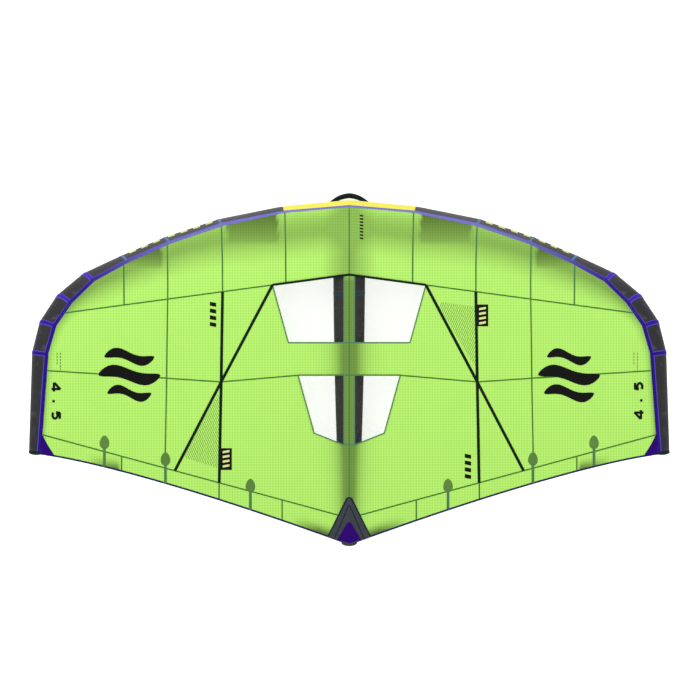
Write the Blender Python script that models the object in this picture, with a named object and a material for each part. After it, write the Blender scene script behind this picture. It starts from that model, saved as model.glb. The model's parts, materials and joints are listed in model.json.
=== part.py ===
"""Wingfoil wing, 4.5 square metres: an inflatable hand-held wing at its real size, in metres.

+X is the wing's right, +Y is forward and +Z is up. The wing lies as it is put down on a beach, on the
middle of its leading edge tube and on the aft end of its strut, which both touch z = 0. The origin is
at the middle of the bounding box, on the ground.

Each side is built once, on +X, and mirrored. The canopy is one height above the ground for each plan
point, so every panel, window and batten is cut from, or laid under, the same surface.
"""

import math

import bmesh
import bpy
import numpy as np
from mathutils import Matrix, Vector
from mathutils.geometry import delaunay_2d_cdt

# Overall plan
WING_WIDTH = 3.23
HALF_SPAN = WING_WIDTH / 2
ROOT_CHORD = 1.746
HANDLE_REACH = 0.033
FRONT_Y = (ROOT_CHORD + HANDLE_REACH) / 2 - HANDLE_REACH
AFT_Y = FRONT_Y - ROOT_CHORD

# Clearances
GAP = 0.0003
HALF_GAP = GAP / 2
RUNNING_GAP = 0.0004
OVERRUN = 0.02
MERGE_DISTANCE = 0.00003
LEAST_DISTANCE = 0.000001

# Leading edge tube: its front outline in plan at each joint between panels, from the middle to the tip
TUBE_RADIUS = 0.095
TIP_RADIUS = 0.036
TUBE_TAPER_POWER = 1.3
TIP_RISE = 0.44
JOINT_SPAN_SHARES = (0.0, 0.2086, 0.4081, 0.5757, 0.7117, 0.8293, 0.9121, 0.9662, 0.99, 1.0)
JOINT_CHORD_SHARES = (0.0, 0.0179, 0.0549, 0.1067, 0.1605, 0.2111, 0.2747, 0.3505, 0.4384, 0.7287)
JOINT_RISE_SHARES = (0.0, 0.0, 0.114, 0.261, 0.432, 0.625, 0.795, 0.932, 1.0, 0.966)
SEAM_DEGREES = (50.8, 49.8, 53.5, 58.6, 66.0, 83.0, 103.0, 114.0, 122.0, 130.0)
TUBE_SIDES = 16
CASING_WALL = 0.0015
FILM_WALL = 0.001
FILM_GAP = 0.0008
CAP_BULGE_SHARE = 0.45
DOME_ANGLES = tuple(math.radians(degrees) for degrees in (30, 60, 80))

# Canopy surface
SHEET = 0.002
CAMBER_PEAK_SHARE = 0.3
STRUT_CAMBER = 0.086
BILLOW_CAMBER = 0.015
BILLOW_REACH = 0.12
TIP_FLATTEN_SHARE = 0.35
WRAP_RISE = 0.014
WRAP_REACH = 0.022
TRAILING_POWER = 1.25
TRAILING_RISE_POWER = 1.25
TIP_CORNER_CHORD_SHARE = 0.7365
TRAILING_ROOT_CHORD_SHARE = 0.9963
SEAM_STRIP = 0.025
SEAM_STRIP_FADE = 0.10
DISTANCE_POWER = 8
BISECTIONS = 40

# Seams between canopy panels, as shares of the half span and of the root chord
FRONT_SEAM_SHARES = ((0.0, 0.2178), (1.0, 0.3411))
MIDDLE_SEAM_SHARES = ((0.0, 0.5069), (0.1579, 0.5069), (0.4003, 0.5263), (0.5707, 0.5162), (1.0, 0.4927))
TRAILING_SEAM_SHARES = ((0.0, 0.9207), (1.0, 0.6675))
WINDOW_EDGE = 0.030
FRONT_WINDOW_TOP_SPAN_SHARE = 0.2392
FRONT_WINDOW_FOOT_SHARES = (0.1895, 0.4121)
REAR_WINDOW_TOP_SPAN_SHARE = 0.1592
REAR_WINDOW_CORNER_SHARES = (0.1091, 0.6735)
REAR_WINDOW_FOOT_CHORD_SHARE = 0.7073

# Strut
STRUT_RADIUS = 0.082
STRUT_END_RADIUS = 0.039
STRUT_TAPER_POWER = 2.4
STRUT_SIDES = 16
STRUT_DOME = 0.018
STRUT_SEAM_CHORD_SHARES = (0.2690, 0.6969)
STRUT_START_CHORD_SHARE = 0.056

# Battens under the trailing panels
BATTEN_SPAN_SHARES = (0.3102, 0.5738, 0.7677)
BATTEN_LENGTH = 0.100
BATTEN_WIDTH = 0.010
BATTEN_THICKNESS = 0.002
BATTEN_HEM = 0.006
BATTEN_DROP = 0.0008
BATTEN_STEPS = 5

# Grips and brackets under the strut
GRIP_CENTRE_CHORD_SHARES = (0.315, 0.595)
GRIP_SPREAD = 0.300
GRIP_DROP = 0.074
GRIP_WIDTH = 0.030
GRIP_DEPTH = 0.026
GRIP_CORNER = 0.028
GRIP_SWELL_SHARE = 0.12
GRIP_SIDES = 12
GRIP_CORNER_STEPS = 4
GRIP_BAR_STEPS = 6
BRACKET_LENGTH = 0.100
BRACKET_WIDTH = 0.060
BRACKET_CORNER = 0.016
BRACKET_CORNER_POINTS = 4
BRACKET_CHAMFER = 0.003
BRACKET_EDGE = 0.008
BRACKET_SINK = 0.022
SOCKET_RADIUS = 0.0215
SOCKET_LIP = 0.002
SOCKET_HEIGHT = 0.022
SOCKET_DEPTH = 0.015

# Padded webbing handle on the front of the leading edge, its ends sewn to the middle panel
NOSE_FACET = -3
NOSE_HALF_WIDTH = 0.098
NOSE_PAD_THICKNESS = 0.022
NOSE_WEBBING = 0.004
NOSE_WIDTH = 0.027
NOSE_SEWN_LENGTH = 0.055
NOSE_ARCH_POWER = 1.3
NOSE_STEPS = 9
NOSE_SIDES = 10

# Inflation valve, on the aft lower side of the middle panel
VALVE_SEAM_CLEARANCE = 0.028
VALVE_FACET = 2
VALVE_BORE_RADIUS = 0.0175
VALVE_NECK_WALL = 0.004
VALVE_NECK_RADIUS = VALVE_BORE_RADIUS + VALVE_NECK_WALL
VALVE_FLANGE_WIDTH = 0.0125
VALVE_FLANGE_RADIUS = VALVE_NECK_RADIUS + VALVE_FLANGE_WIDTH
VALVE_FLANGE_RISE = 0.005
VALVE_FLANGE_SINK = 0.012
VALVE_RIM = 0.001
VALVE_NECK_RISE = 0.011
VALVE_SKIRT = 0.016
PLUG_RIM_SETBACK = 0.001
PLUG_RIM_RADIUS = VALVE_NECK_RADIUS - PLUG_RIM_SETBACK
PLUG_RIM = 0.003
PLUG_WALL = 0.0056
PLUG_BORE_RADIUS = VALVE_BORE_RADIUS - RUNNING_GAP - PLUG_WALL
PLUG_BAR = 0.006
PLUG_DEPTH = 0.017
PLUG_BAR_DROP = 0.004
PLUG_BAR_HEIGHT = 0.003
POPPET_RADIUS = 0.0145
POPPET_DISC = 0.002
POPPET_STEM_RADIUS = 0.0022
POPPET_BUTTON_RADIUS = 0.0045
POPPET_BUTTON = 0.0025
CAP_CLEARANCE = 0.001
CAP_SKIRT_WALL = 0.002
CAP_RADIUS = VALVE_NECK_RADIUS + CAP_CLEARANCE + CAP_SKIRT_WALL
CAP_TOP = 0.0025
CAP_SKIRT = 0.006
CAP_HINGE_REACH = 0.0055
CAP_HINGE_OFFSET = CAP_RADIUS + CAP_HINGE_REACH
HINGE_EYE_RADIUS = 0.0034
HINGE_PIN_RADIUS = 0.0015
HINGE_EYE_WIDTH = 0.010
HINGE_EAR = 0.003
HINGE_RISE = 0.0043

# Air hose from the leading edge to the strut, and its pinch clip
HOSE_STRUT_CLEARANCE = 0.046
HOSE_FACET = 3
HOSE_STRUT_CHORD_SHARE = 0.185
HOSE_STRUT_ANGLE = math.radians(-33.75)
HOSE_RADIUS = 0.0095
HOSE_COLLAR_RADIUS = 0.0145
HOSE_COLLAR = 0.004
HOSE_REACH = 0.075
HOSE_BORE_RADIUS = 0.0065
SPIGOT_RADIUS = 0.006
SPIGOT_BORE_RADIUS = 0.004
SPIGOT_IN = 0.008
SPIGOT_OUT = 0.012
HOSE_STRAIGHT = 0.014
HOSE_STEPS = 14
HOSE_SIDES = 10
CLIP_GAP = 0.0007
CLIP_WIDTH = 0.016
CLIP_BAR = 0.005
CLIP_POST = 0.006
CLIP_EYE_RADIUS = 0.0040
CLIP_PIN_RADIUS = 0.0016
CLIP_EYE_WIDTH = 0.007
CLIP_EAR = 0.003
CLIP_TAIL = 0.010

# Zip along the underside of the middle panel's left half, for the bladder
ZIP_FACET = 2
ZIP_SEAT_GAP = 0.0005
ZIP_START_SHARE = 0.16
ZIP_END_SHARE = 0.92
ZIP_TAPE = 0.026
ZIP_CHAIN = 0.006
ZIP_HEIGHT = 0.0022
ZIP_TAPE_THICKNESS = 0.0009
SLIDER_SHARE = 0.12
SLIDER_LENGTH = 0.016
SLIDER_WIDTH = 0.011
SLIDER_WALL = 0.0015
PULL_EYE_RADIUS = 0.0030
PULL_PIN_RADIUS = 0.0012
PULL_EYE_WIDTH = 0.004
PULL_EAR = 0.0015
PULL_EAR_RADIUS = 0.0022
PULL_LENGTH = 0.034
PULL_NECK = 0.012
PULL_WIDTH = 0.008
PULL_THICKNESS = 0.0018

PANEL_STEP = 0.100
PANEL_ROWS = (0.011, 0.030)
CENTRE_STEP = 0.105
ROUND_SIDES = 20
SMALL_SIDES = 12
SMOOTH_ANGLE = math.radians(40)
UP = np.array((0.0, 0.0, 1.0))
RIGHT = np.array((1.0, 0.0, 0.0))
MIRROR_X = np.array((-1.0, 1.0, 1.0))

MATERIAL_LOOKS = {
    "canopy_ripstop": ((0.45, 0.88, 0.16), 0.55, 0.0),
    "window_film": ((0.92, 0.94, 0.95), 0.12, 0.0),
    "dacron_grey": ((0.045, 0.045, 0.05), 0.6, 0.0),
    "dacron_yellow": ((1.0, 0.78, 0.06), 0.55, 0.0),
    "bladder_film": ((0.75, 0.78, 0.80), 0.3, 0.0),
    "moulded_black": ((0.02, 0.02, 0.022), 0.45, 0.0),
    "grip_foam": ((0.03, 0.03, 0.035), 0.8, 0.0),
    "webbing_black": ((0.012, 0.02, 0.025), 0.75, 0.0),
    "valve_rubber": ((0.05, 0.05, 0.055), 0.6, 0.0),
    "glass_fibre": ((0.70, 0.70, 0.62), 0.4, 0.0),
    "zip_metal": ((0.35, 0.35, 0.36), 0.35, 1.0),
}


def clear_scene():
    """Remove what the file opened with."""
    for obj in list(bpy.data.objects):
        bpy.data.objects.remove(obj)


def make_materials():
    """One Principled material for each finish."""
    for name, (colour, roughness, metallic) in MATERIAL_LOOKS.items():
        material = bpy.data.materials.new(name)
        material.use_nodes = True
        shader = material.node_tree.nodes["Principled BSDF"]
        shader.inputs["Base Color"].default_value = (*colour, 1.0)
        shader.inputs["Roughness"].default_value = roughness
        shader.inputs["Metallic"].default_value = metallic


def solid(name, points, faces, finish, recalculate=True):
    """A mesh object from points and faces, smooth-shaded, with its faces pointing out."""
    mesh = bpy.data.meshes.new(name)
    mesh.from_pydata([tuple(map(float, p)) for p in points], [], [list(f) for f in faces])
    if recalculate:
        work = bmesh.new()
        work.from_mesh(mesh)
        bmesh.ops.recalc_face_normals(work, faces=work.faces)
        work.to_mesh(mesh)
        work.free()
    mesh.materials.append(bpy.data.materials[finish])
    mesh.shade_smooth()
    mesh.set_sharp_from_angle(angle=SMOOTH_ANGLE)
    obj = bpy.data.objects.new(name, mesh)
    bpy.context.scene.collection.objects.link(obj)
    return obj


def boolean(obj, other, operation):
    """Apply one exact Boolean to obj at once, and remove the other object."""
    modifier = obj.modifiers.new(operation, "BOOLEAN")
    modifier.object = other
    modifier.operation = operation
    modifier.solver = "EXACT"
    bpy.context.view_layer.update()
    graph = bpy.context.evaluated_depsgraph_get()
    mesh = bpy.data.meshes.new_from_object(obj.evaluated_get(graph))
    obj.modifiers.clear()
    obj.data = mesh
    bpy.data.objects.remove(other)
    return obj


def mirror_copy(obj, name):
    """A copy of a right-hand object on the left-hand side."""
    mesh = obj.data.copy()
    mesh.transform(Matrix.Scale(-1, 4, Vector(RIGHT)))
    mesh.flip_normals()
    copy = bpy.data.objects.new(name, mesh)
    bpy.context.scene.collection.objects.link(copy)
    return copy


def ring(centre, across, up, radius_across, radius_up, sides):
    """Points round an ellipse that starts at its lowest point and turns from across towards up."""
    angles = -math.pi / 2 + np.arange(sides) * 2 * math.pi / sides
    return (
        np.asarray(centre)
        + radius_across * np.cos(angles)[:, None] * np.asarray(across)
        + radius_up * np.sin(angles)[:, None] * np.asarray(up)
    )


def side_faces(first, second, sides, diagonal=0):
    """Quads between two rings that start at these point numbers, or triangles with a chosen diagonal."""
    faces = []
    for i in range(sides):
        a, b = first + i, first + (i + 1) % sides
        c, d = second + (i + 1) % sides, second + i
        if diagonal == 0:
            faces.append((a, b, c, d))
        else:
            faces += [(a, b, c), (a, c, d)] if diagonal > 0 else [(a, b, d), (b, c, d)]
    return faces


def closed_loft(rings, diagonals=None):
    """Points and faces of a skin through rings, with flat ends and one diagonal choice for each span."""
    sides = len(rings[0])
    points = np.concatenate(rings)
    faces = []
    for k in range(len(rings) - 1):
        faces += side_faces(k * sides, (k + 1) * sides, sides, diagonals[k] if diagonals else 0)
    last = (len(rings) - 1) * sides
    faces.append(tuple(reversed(range(sides))))
    faces.append(tuple(range(last, last + sides)))
    return points, faces


def open_shell(outer, inner, diagonals=None):
    """Points and faces of a tube with a wall, open at both ends."""
    sides = len(outer[0])
    count = len(outer)
    points = np.concatenate(list(outer) + list(inner))
    inside = count * sides
    last = (count - 1) * sides
    faces = []
    for k in range(count - 1):
        diagonal = diagonals[k] if diagonals else 0
        faces += side_faces(k * sides, (k + 1) * sides, sides, diagonal)
        lining = side_faces(inside + k * sides, inside + (k + 1) * sides, sides, diagonal)
        faces += [f[::-1] for f in lining]
    faces += side_faces(inside, 0, sides)
    faces += side_faces(last, inside + last, sides)
    return points, faces


def cup_shell(outer, inner, diagonals=None):
    """Points and faces of a tube with a wall, open at its first ring and closed at its last."""
    sides = len(outer[0])
    points, faces = open_shell(outer, inner, diagonals)
    faces = faces[:-sides]
    last = (len(outer) - 1) * sides
    inside = len(outer) * sides + last
    faces.append(tuple(range(last, last + sides)))
    faces.append(tuple(reversed(range(inside, inside + sides))))
    return points, faces


def nested_shell(outer, inner, diagonals=None):
    """Points and faces of a closed skin with a closed hollow in it, which a port opens later."""
    points, faces = closed_loft(outer, diagonals)
    inner_points, inner_faces = closed_loft(inner, diagonals)
    faces = faces + [tuple(i + len(points) for i in f[::-1]) for f in inner_faces]
    return np.concatenate([points, inner_points]), faces


def perpendiculars(axis):
    """Two unit directions square to an axis and to each other, the first of them level where it can be."""
    axis = np.asarray(axis) / np.linalg.norm(axis)
    level = np.cross(UP, axis)
    if np.linalg.norm(level) < LEAST_DISTANCE:
        level = RIGHT
    level = level / np.linalg.norm(level)
    return level, np.cross(axis, level)


def turned(name, profile, origin, axis, finish, sides=ROUND_SIDES):
    """A solid of revolution from (radius, height) pairs, its axis from origin along axis."""
    level, other = perpendiculars(axis)
    axis = np.asarray(axis) / np.linalg.norm(axis)
    rings = [ring(np.asarray(origin) + height * axis, level, other, r, r, sides) for r, height in profile]
    return solid(name, *closed_loft(rings), finish)


def block(name, centre, axes, half_sizes, finish):
    """A box with its middle at centre and its half sizes along three directions."""
    corners = []
    for i in (-1, 1):
        for j in (-1, 1):
            for k in (-1, 1):
                offset = sum(s * h * np.asarray(a) for s, h, a in zip((i, j, k), half_sizes, axes))
                corners.append(np.asarray(centre) + offset)
    faces = [(0, 1, 3, 2), (4, 6, 7, 5), (0, 4, 5, 1), (2, 3, 7, 6), (0, 2, 6, 4), (1, 5, 7, 3)]
    return solid(name, corners, faces, finish)


class LeadingEdge:
    """Joints of the right half of the leading edge tube: axis points, directions and radii."""

    def __init__(self):
        span = np.array(JOINT_SPAN_SHARES) * HALF_SPAN
        chord = FRONT_Y - np.array(JOINT_CHORD_SHARES) * ROOT_CHORD
        outline = np.stack([span, chord], axis=1)
        steps = np.linalg.norm(np.diff(outline, axis=0), axis=1)
        self.length_shares = np.concatenate([[0.0], np.cumsum(steps)]) / steps.sum()
        self.radius = TUBE_RADIUS + (TIP_RADIUS - TUBE_RADIUS) * self.length_shares**TUBE_TAPER_POWER
        heights = self.radius + np.array(JOINT_RISE_SHARES) * TIP_RISE
        rough = np.column_stack([outline, heights])
        directions = np.diff(rough, axis=0)
        directions /= np.linalg.norm(directions, axis=1)[:, None]
        before = np.vstack([directions[0] * MIRROR_X * -1, directions])
        after = np.vstack([directions, directions[-1]])
        along = before + after
        along /= np.linalg.norm(along, axis=1)[:, None]
        self.along = along
        self.mitre = 1 / np.sum(along * after, axis=1)
        outward = np.cross(UP, along)
        self.outward = outward / np.linalg.norm(outward, axis=1)[:, None]
        self.up = np.cross(along, self.outward)
        self.axis = rough - (self.radius * self.mitre)[:, None] * self.outward
        self.seam = self.surface(np.radians(SEAM_DEGREES), GAP + SHEET / 2)

    def surface(self, angles, offset=0.0):
        """The point of each joint's ring at an angle above its outward direction."""
        across = ((self.radius + offset) * np.cos(angles) * self.mitre)[:, None] * self.outward
        return self.axis + across + ((self.radius + offset) * np.sin(angles))[:, None] * self.up

    def ring(self, joint, inset, shift=0.0):
        """Ring of one joint, inset from the tube's surface and shifted along the tube."""
        radius = self.radius[joint] - inset
        centre = self.axis[joint] + shift * self.along[joint]
        across = self.outward[joint]
        return ring(centre, across, self.up[joint], radius * self.mitre[joint], radius, TUBE_SIDES)

    def segment(self, joint):
        """Unit direction of the tube from one joint to the next."""
        direction = self.axis[joint + 1] - self.axis[joint]
        return direction / np.linalg.norm(direction)

    def facet(self, x, number, offset=0.0):
        """Middle of a flat of the middle panel, with its outward and along directions."""
        share = abs(x) / self.axis[1][0]
        centre = self.axis[0] * (1 - share) + self.axis[1] * share
        radius = self.radius[0] * (1 - share) + self.radius[1] * share
        angle = -math.pi / 2 - (number + 0.5) * 2 * math.pi / TUBE_SIDES
        direction = self.segment(0)
        outward = np.cross(UP, direction)
        outward /= np.linalg.norm(outward)
        normal = math.cos(angle) * outward + math.sin(angle) * UP
        normal = np.cross(direction, np.cross(normal, direction))
        point = centre + (radius * math.cos(math.pi / TUBE_SIDES) + offset) * normal
        if x < 0:
            return point * MIRROR_X, normal * MIRROR_X, direction * MIRROR_X * -1
        return point, normal, direction

    def middle_rings(self, inset, shift=0.0):
        """Rings of the middle panel from its left joint to its right joint."""
        end = self.ring(1, inset, shift)
        return [end * MIRROR_X, self.ring(0, inset), end]

    def middle_cutter(self, clearance):
        """A solid of the middle panel's shape, grown by a clearance."""
        return solid("cutter", *closed_loft(self.middle_rings(-clearance), (-1, 1)), "dacron_grey")


def strut_radius(y):
    """Radius of the strut, which tapers faster towards its aft end."""
    share = (FRONT_Y - y) / ROOT_CHORD
    return STRUT_RADIUS - (STRUT_RADIUS - STRUT_END_RADIUS) * share**STRUT_TAPER_POWER


class Canopy:
    """The canopy's height above the ground as a function of plan position, on the right-hand side."""

    def __init__(self, tube):
        self.seam = tube.seam
        self.tip_x = self.seam[-1][0]
        self.tip_y = FRONT_Y - TIP_CORNER_CHORD_SHARE * ROOT_CHORD
        self.root_y = FRONT_Y - TRAILING_ROOT_CHORD_SHARE * ROOT_CHORD
        edges = np.diff(self.seam[:, :2], axis=0)
        edges /= np.linalg.norm(edges, axis=1)[:, None]
        self.edge_normals = np.stack([-edges[:, 1], edges[:, 0]], axis=1)
        end_y = AFT_Y + STRUT_DOME
        self.root_z = 0.0
        share = (self.leading_y(0) - end_y) / (self.leading_y(0) - self.root_y)
        rest_z = 2 * strut_radius(end_y) + GAP + SHEET / 2
        self.root_z = (rest_z - float(self.height(0, end_y))) / share

    def leading_y(self, x):
        """Plan position of the seam on the leading edge."""
        return np.interp(x, self.seam[:, 0], self.seam[:, 1])

    def trailing_y(self, x):
        """Plan position of the hollow trailing edge."""
        share = np.clip(x / self.tip_x, 0, 1)
        return self.tip_y + (self.root_y - self.tip_y) * (1 - share) ** TRAILING_POWER

    def leading_distance(self, x, y):
        """Smooth distance in plan from the seam on the leading edge."""
        total = 0.0
        for start, normal in zip(self.seam[:-1, :2], self.edge_normals):
            away = (start[0] - x) * normal[0] + (start[1] - y) * normal[1]
            total = total + np.maximum(away, LEAST_DISTANCE) ** (-DISTANCE_POWER)
        return total ** (-1 / DISTANCE_POWER)

    def height(self, x, y):
        """Height of the sheet's middle surface."""
        x = np.abs(np.asarray(x, float))
        y = np.asarray(y, float)
        front, rear = self.leading_y(x), self.trailing_y(x)
        share = np.clip((front - y) / (front - rear), 0, 1)
        leading_z = np.interp(x, self.seam[:, 0], self.seam[:, 2])
        rise_share = np.clip(x / self.tip_x, 0, 1) ** TRAILING_RISE_POWER
        trailing_z = self.root_z + (self.seam[-1][2] - self.root_z) * rise_share
        ahead = self.leading_distance(x, y)
        behind = np.maximum(y - rear, 0)
        run = ahead + behind
        s = ahead / run
        peak = CAMBER_PEAK_SHARE
        fore = (2 * peak * s - s**2) / peak**2
        aft = (1 - 2 * peak + 2 * peak * s - s**2) / (1 - peak) ** 2
        beside = np.maximum(x - SEAM_STRIP, 0)
        camber = STRUT_CAMBER + BILLOW_CAMBER * (1 - np.exp(-beside / BILLOW_REACH))
        camber = camber * (1 - TIP_FLATTEN_SHARE * (x / HALF_SPAN) ** 2)
        wrap_share = (1 - np.clip(x / self.tip_x, 0, 1)) * (1 - s)
        wrap = WRAP_RISE * (1 - np.exp(-ahead / WRAP_REACH)) * wrap_share
        drape = np.minimum(x, SEAM_STRIP) ** 2 / (2 * STRUT_RADIUS)
        drape = drape * np.exp(-beside / BILLOW_REACH) * (1 - np.exp(-ahead / SEAM_STRIP_FADE))
        base = (1 - share) * leading_z + share * trailing_z
        return base + camber * run * np.where(s < peak, fore, aft) + wrap - drape

    def point(self, x, y, offset=0.0):
        """A point of the sheet, raised by offset."""
        return np.array((x, y, float(self.height(x, y)) + offset))

    def seam_y(self, shares):
        """A seam's plan position as a function of span position."""
        table = np.array(shares)
        return lambda x: FRONT_Y - ROOT_CHORD * np.interp(np.abs(x) / HALF_SPAN, table[:, 0], table[:, 1])

    def meeting_x(self, curve):
        """Span position where a seam across the canopy meets the leading edge."""
        low, high = 0.0, self.tip_x
        for _ in range(BISECTIONS):
            middle = (low + high) / 2
            if self.leading_y(middle) > curve(middle):
                low = middle
            else:
                high = middle
        return low


def subdivide(outline, step):
    """Points along a closed outline with no edge longer than a step."""
    points = []
    for start, end in zip(outline, outline[1:] + outline[:1]):
        start, end = np.array(start), np.array(end)
        count = max(1, math.ceil(np.linalg.norm(end - start) / step))
        points += [start + (end - start) * k / count for k in range(count)]
    return np.array(points)


def inset_outline(points, distance):
    """A closed anticlockwise outline moved inwards by a distance."""
    before = points - np.roll(points, 1, axis=0)
    after = np.roll(points, -1, axis=0) - points
    before /= np.linalg.norm(before, axis=1)[:, None]
    after /= np.linalg.norm(after, axis=1)[:, None]
    normal_before = np.stack([-before[:, 1], before[:, 0]], axis=1)
    normal_after = np.stack([-after[:, 1], after[:, 0]], axis=1)
    across = normal_before + normal_after
    across /= np.sum(across * normal_after, axis=1)[:, None]
    return points + distance * across


def clear_of(points, outline, margin):
    """Which points lie inside a closed outline and at least a margin from it."""
    start, end = outline, np.roll(outline, -1, axis=0)
    inside = np.zeros(len(points), bool)
    clear = np.ones(len(points), bool)
    for a, b in zip(start, end):
        crosses = (a[1] > points[:, 1]) != (b[1] > points[:, 1])
        with np.errstate(divide="ignore", invalid="ignore"):
            x = a[0] + (points[:, 1] - a[1]) / (b[1] - a[1]) * (b[0] - a[0])
        inside ^= crosses & (points[:, 0] < x)
        share = np.clip((points - a) @ (b - a) / ((b - a) @ (b - a)), 0, 1)
        nearest = a + share[:, None] * (b - a)
        clear &= np.linalg.norm(points - nearest, axis=1) > margin
    return inside & clear


def sheet_panel(name, outline, canopy, finish, rows=()):
    """A closed sheet on the canopy's surface inside an anticlockwise plan outline on the right."""
    outline = inset_outline(subdivide(outline, PANEL_STEP), HALF_GAP)
    low, high = outline.min(axis=0), outline.max(axis=0)
    grid_x = np.arange(low[0] + PANEL_STEP / 2, high[0], PANEL_STEP)
    grid_y = np.arange(low[1] + PANEL_STEP / 2, high[1], PANEL_STEP)
    grid = np.array([(x, y) for x in grid_x for y in grid_y]).reshape(-1, 2)
    margin = PANEL_STEP / 2
    inner = grid[clear_of(grid, outline, margin)]
    if len(rows):
        apart = np.min(np.linalg.norm(inner[:, None] - rows[None], axis=2), axis=1) > margin
        near = rows[clear_of(rows, outline, PANEL_ROWS[0] / 2)]
        inner = np.concatenate([near, inner[apart]])
    points = [Vector(p) for p in np.concatenate([outline, inner])]
    count = len(outline)
    edges = [(i, (i + 1) % count) for i in range(count)]
    result = delaunay_2d_cdt(points, edges, [], 1, MERGE_DISTANCE)
    plan = np.array([tuple(p) for p in result[0]])
    triangles = [tuple(f) for f in result[2]]
    heights = canopy.height(plan[:, 0], plan[:, 1])
    top = np.column_stack([plan, heights + SHEET / 2])
    bottom = np.column_stack([plan, heights - SHEET / 2])
    faces = triangles + [tuple(i + len(plan) for i in reversed(f)) for f in triangles]
    directed = {(f[i], f[(i + 1) % 3]) for f in triangles for i in range(3)}
    for a, b in sorted(directed):
        if (b, a) not in directed:
            faces.append((b, a, a + len(plan), b + len(plan)))
    return solid(name, np.concatenate([top, bottom]), faces, finish)


def leading_part(canopy, start_x, end_x):
    """Plan points of the seam on the leading edge from one span position to another."""
    between = canopy.seam[(canopy.seam[:, 0] > start_x) & (canopy.seam[:, 0] < end_x)][:, 0]
    xs = [start_x, *between, end_x]
    return [(x, float(canopy.leading_y(x))) for x in xs]


def curve_part(curve, xs):
    """Plan points of a seam at span positions."""
    return [(x, float(curve(x))) for x in xs]


def centre_part(start_y, end_y, stations):
    """Plan points down or up the middle of the canopy at the strut's stations."""
    low, high = min(start_y, end_y), max(start_y, end_y)
    between = [y for y in stations if low + GAP < y < high - GAP]
    between.sort(reverse=bool(start_y > end_y))
    return [(0.0, y) for y in between]


def leading_rows(canopy):
    """Plan points in rows close behind the leading edge seam."""
    outline = subdivide([tuple(p) for p in canopy.seam[:, :2]], PANEL_STEP)
    normals = np.stack([canopy.edge_normals[:, 0], canopy.edge_normals[:, 1]], axis=1)
    rows = []
    for p in outline:
        away = np.sum((canopy.seam[:-1, :2] - p) * normals, axis=1)
        nearest = int(np.argmin(np.abs(away)))
        rows += [p - distance * normals[nearest] for distance in PANEL_ROWS]
    return np.array(rows)


def make_canopy(canopy, stations):
    """Eight cloth panels and four windows, built on the right and mirrored."""
    front = canopy.seam_y(FRONT_SEAM_SHARES)
    middle = canopy.seam_y(MIDDLE_SEAM_SHARES)
    trailing = canopy.seam_y(TRAILING_SEAM_SHARES)
    front_x, middle_x, trailing_x = (canopy.meeting_x(c) for c in (front, middle, trailing))
    middle_bends = [x * HALF_SPAN for x, _ in MIDDLE_SEAM_SHARES if 0 < x * HALF_SPAN < middle_x]
    rear_top = REAR_WINDOW_TOP_SPAN_SHARE * HALF_SPAN
    front_top = FRONT_WINDOW_TOP_SPAN_SHARE * HALF_SPAN
    front_foot, rear_corner = (
        (span_share * HALF_SPAN, FRONT_Y - chord_share * ROOT_CHORD)
        for span_share, chord_share in (FRONT_WINDOW_FOOT_SHARES, REAR_WINDOW_CORNER_SHARES)
    )
    rear_foot_y = FRONT_Y - REAR_WINDOW_FOOT_CHORD_SHARE * ROOT_CHORD
    middle_xs = sorted({0.0, WINDOW_EDGE, rear_top, *middle_bends, middle_x})
    aft_xs = np.linspace(0, canopy.tip_x, math.ceil(canopy.tip_x / PANEL_STEP))
    aft_line = [(x, float(canopy.trailing_y(x))) for x in aft_xs]
    outlines = {
        "canopy_front_panel": (
            leading_part(canopy, 0.0, front_x)[::-1]
            + centre_part(canopy.leading_y(0), front(0), stations)
            + curve_part(front, (0.0, WINDOW_EDGE, front_top))
        ),
        "canopy_middle_panel": (
            curve_part(front, (front_x, front_top))
            + [front_foot, (WINDOW_EDGE, front_foot[1]), (WINDOW_EDGE, float(front(WINDOW_EDGE)))]
            + [(0.0, float(front(0)))]
            + centre_part(front(0), middle(0), stations)
            + curve_part(middle, middle_xs)
            + leading_part(canopy, front_x, middle_x)[1:-1][::-1]
        ),
        "canopy_rear_panel": (
            curve_part(middle, [x for x in reversed(middle_xs) if x >= rear_top])
            + [rear_corner, (WINDOW_EDGE, rear_foot_y), (WINDOW_EDGE, float(middle(WINDOW_EDGE)))]
            + [(0.0, float(middle(0)))]
            + centre_part(middle(0), trailing(0), stations)
            + curve_part(trailing, (0.0, trailing_x))
            + leading_part(canopy, middle_x, trailing_x)[1:-1][::-1]
        ),
        "canopy_trailing_panel": (
            curve_part(trailing, (trailing_x, 0.0))
            + centre_part(trailing(0), canopy.root_y, stations)
            + aft_line
            + leading_part(canopy, trailing_x, canopy.tip_x)[1:-1][::-1]
        ),
        "front_window": (
            [front_foot, (front_top, float(front(front_top)))]
            + [(WINDOW_EDGE, float(front(WINDOW_EDGE))), (WINDOW_EDGE, front_foot[1])]
        ),
        "rear_window": (
            [rear_corner, (rear_top, float(middle(rear_top)))]
            + [(WINDOW_EDGE, float(middle(WINDOW_EDGE))), (WINDOW_EDGE, rear_foot_y)]
        ),
    }
    rows = leading_rows(canopy)
    for name, outline in outlines.items():
        finish = "window_film" if name.endswith("window") else "canopy_ripstop"
        near = () if name.endswith("window") else rows
        panel = sheet_panel(name + "_right", outline, canopy, finish, near)
        mirror_copy(panel, name + "_left")


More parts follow.
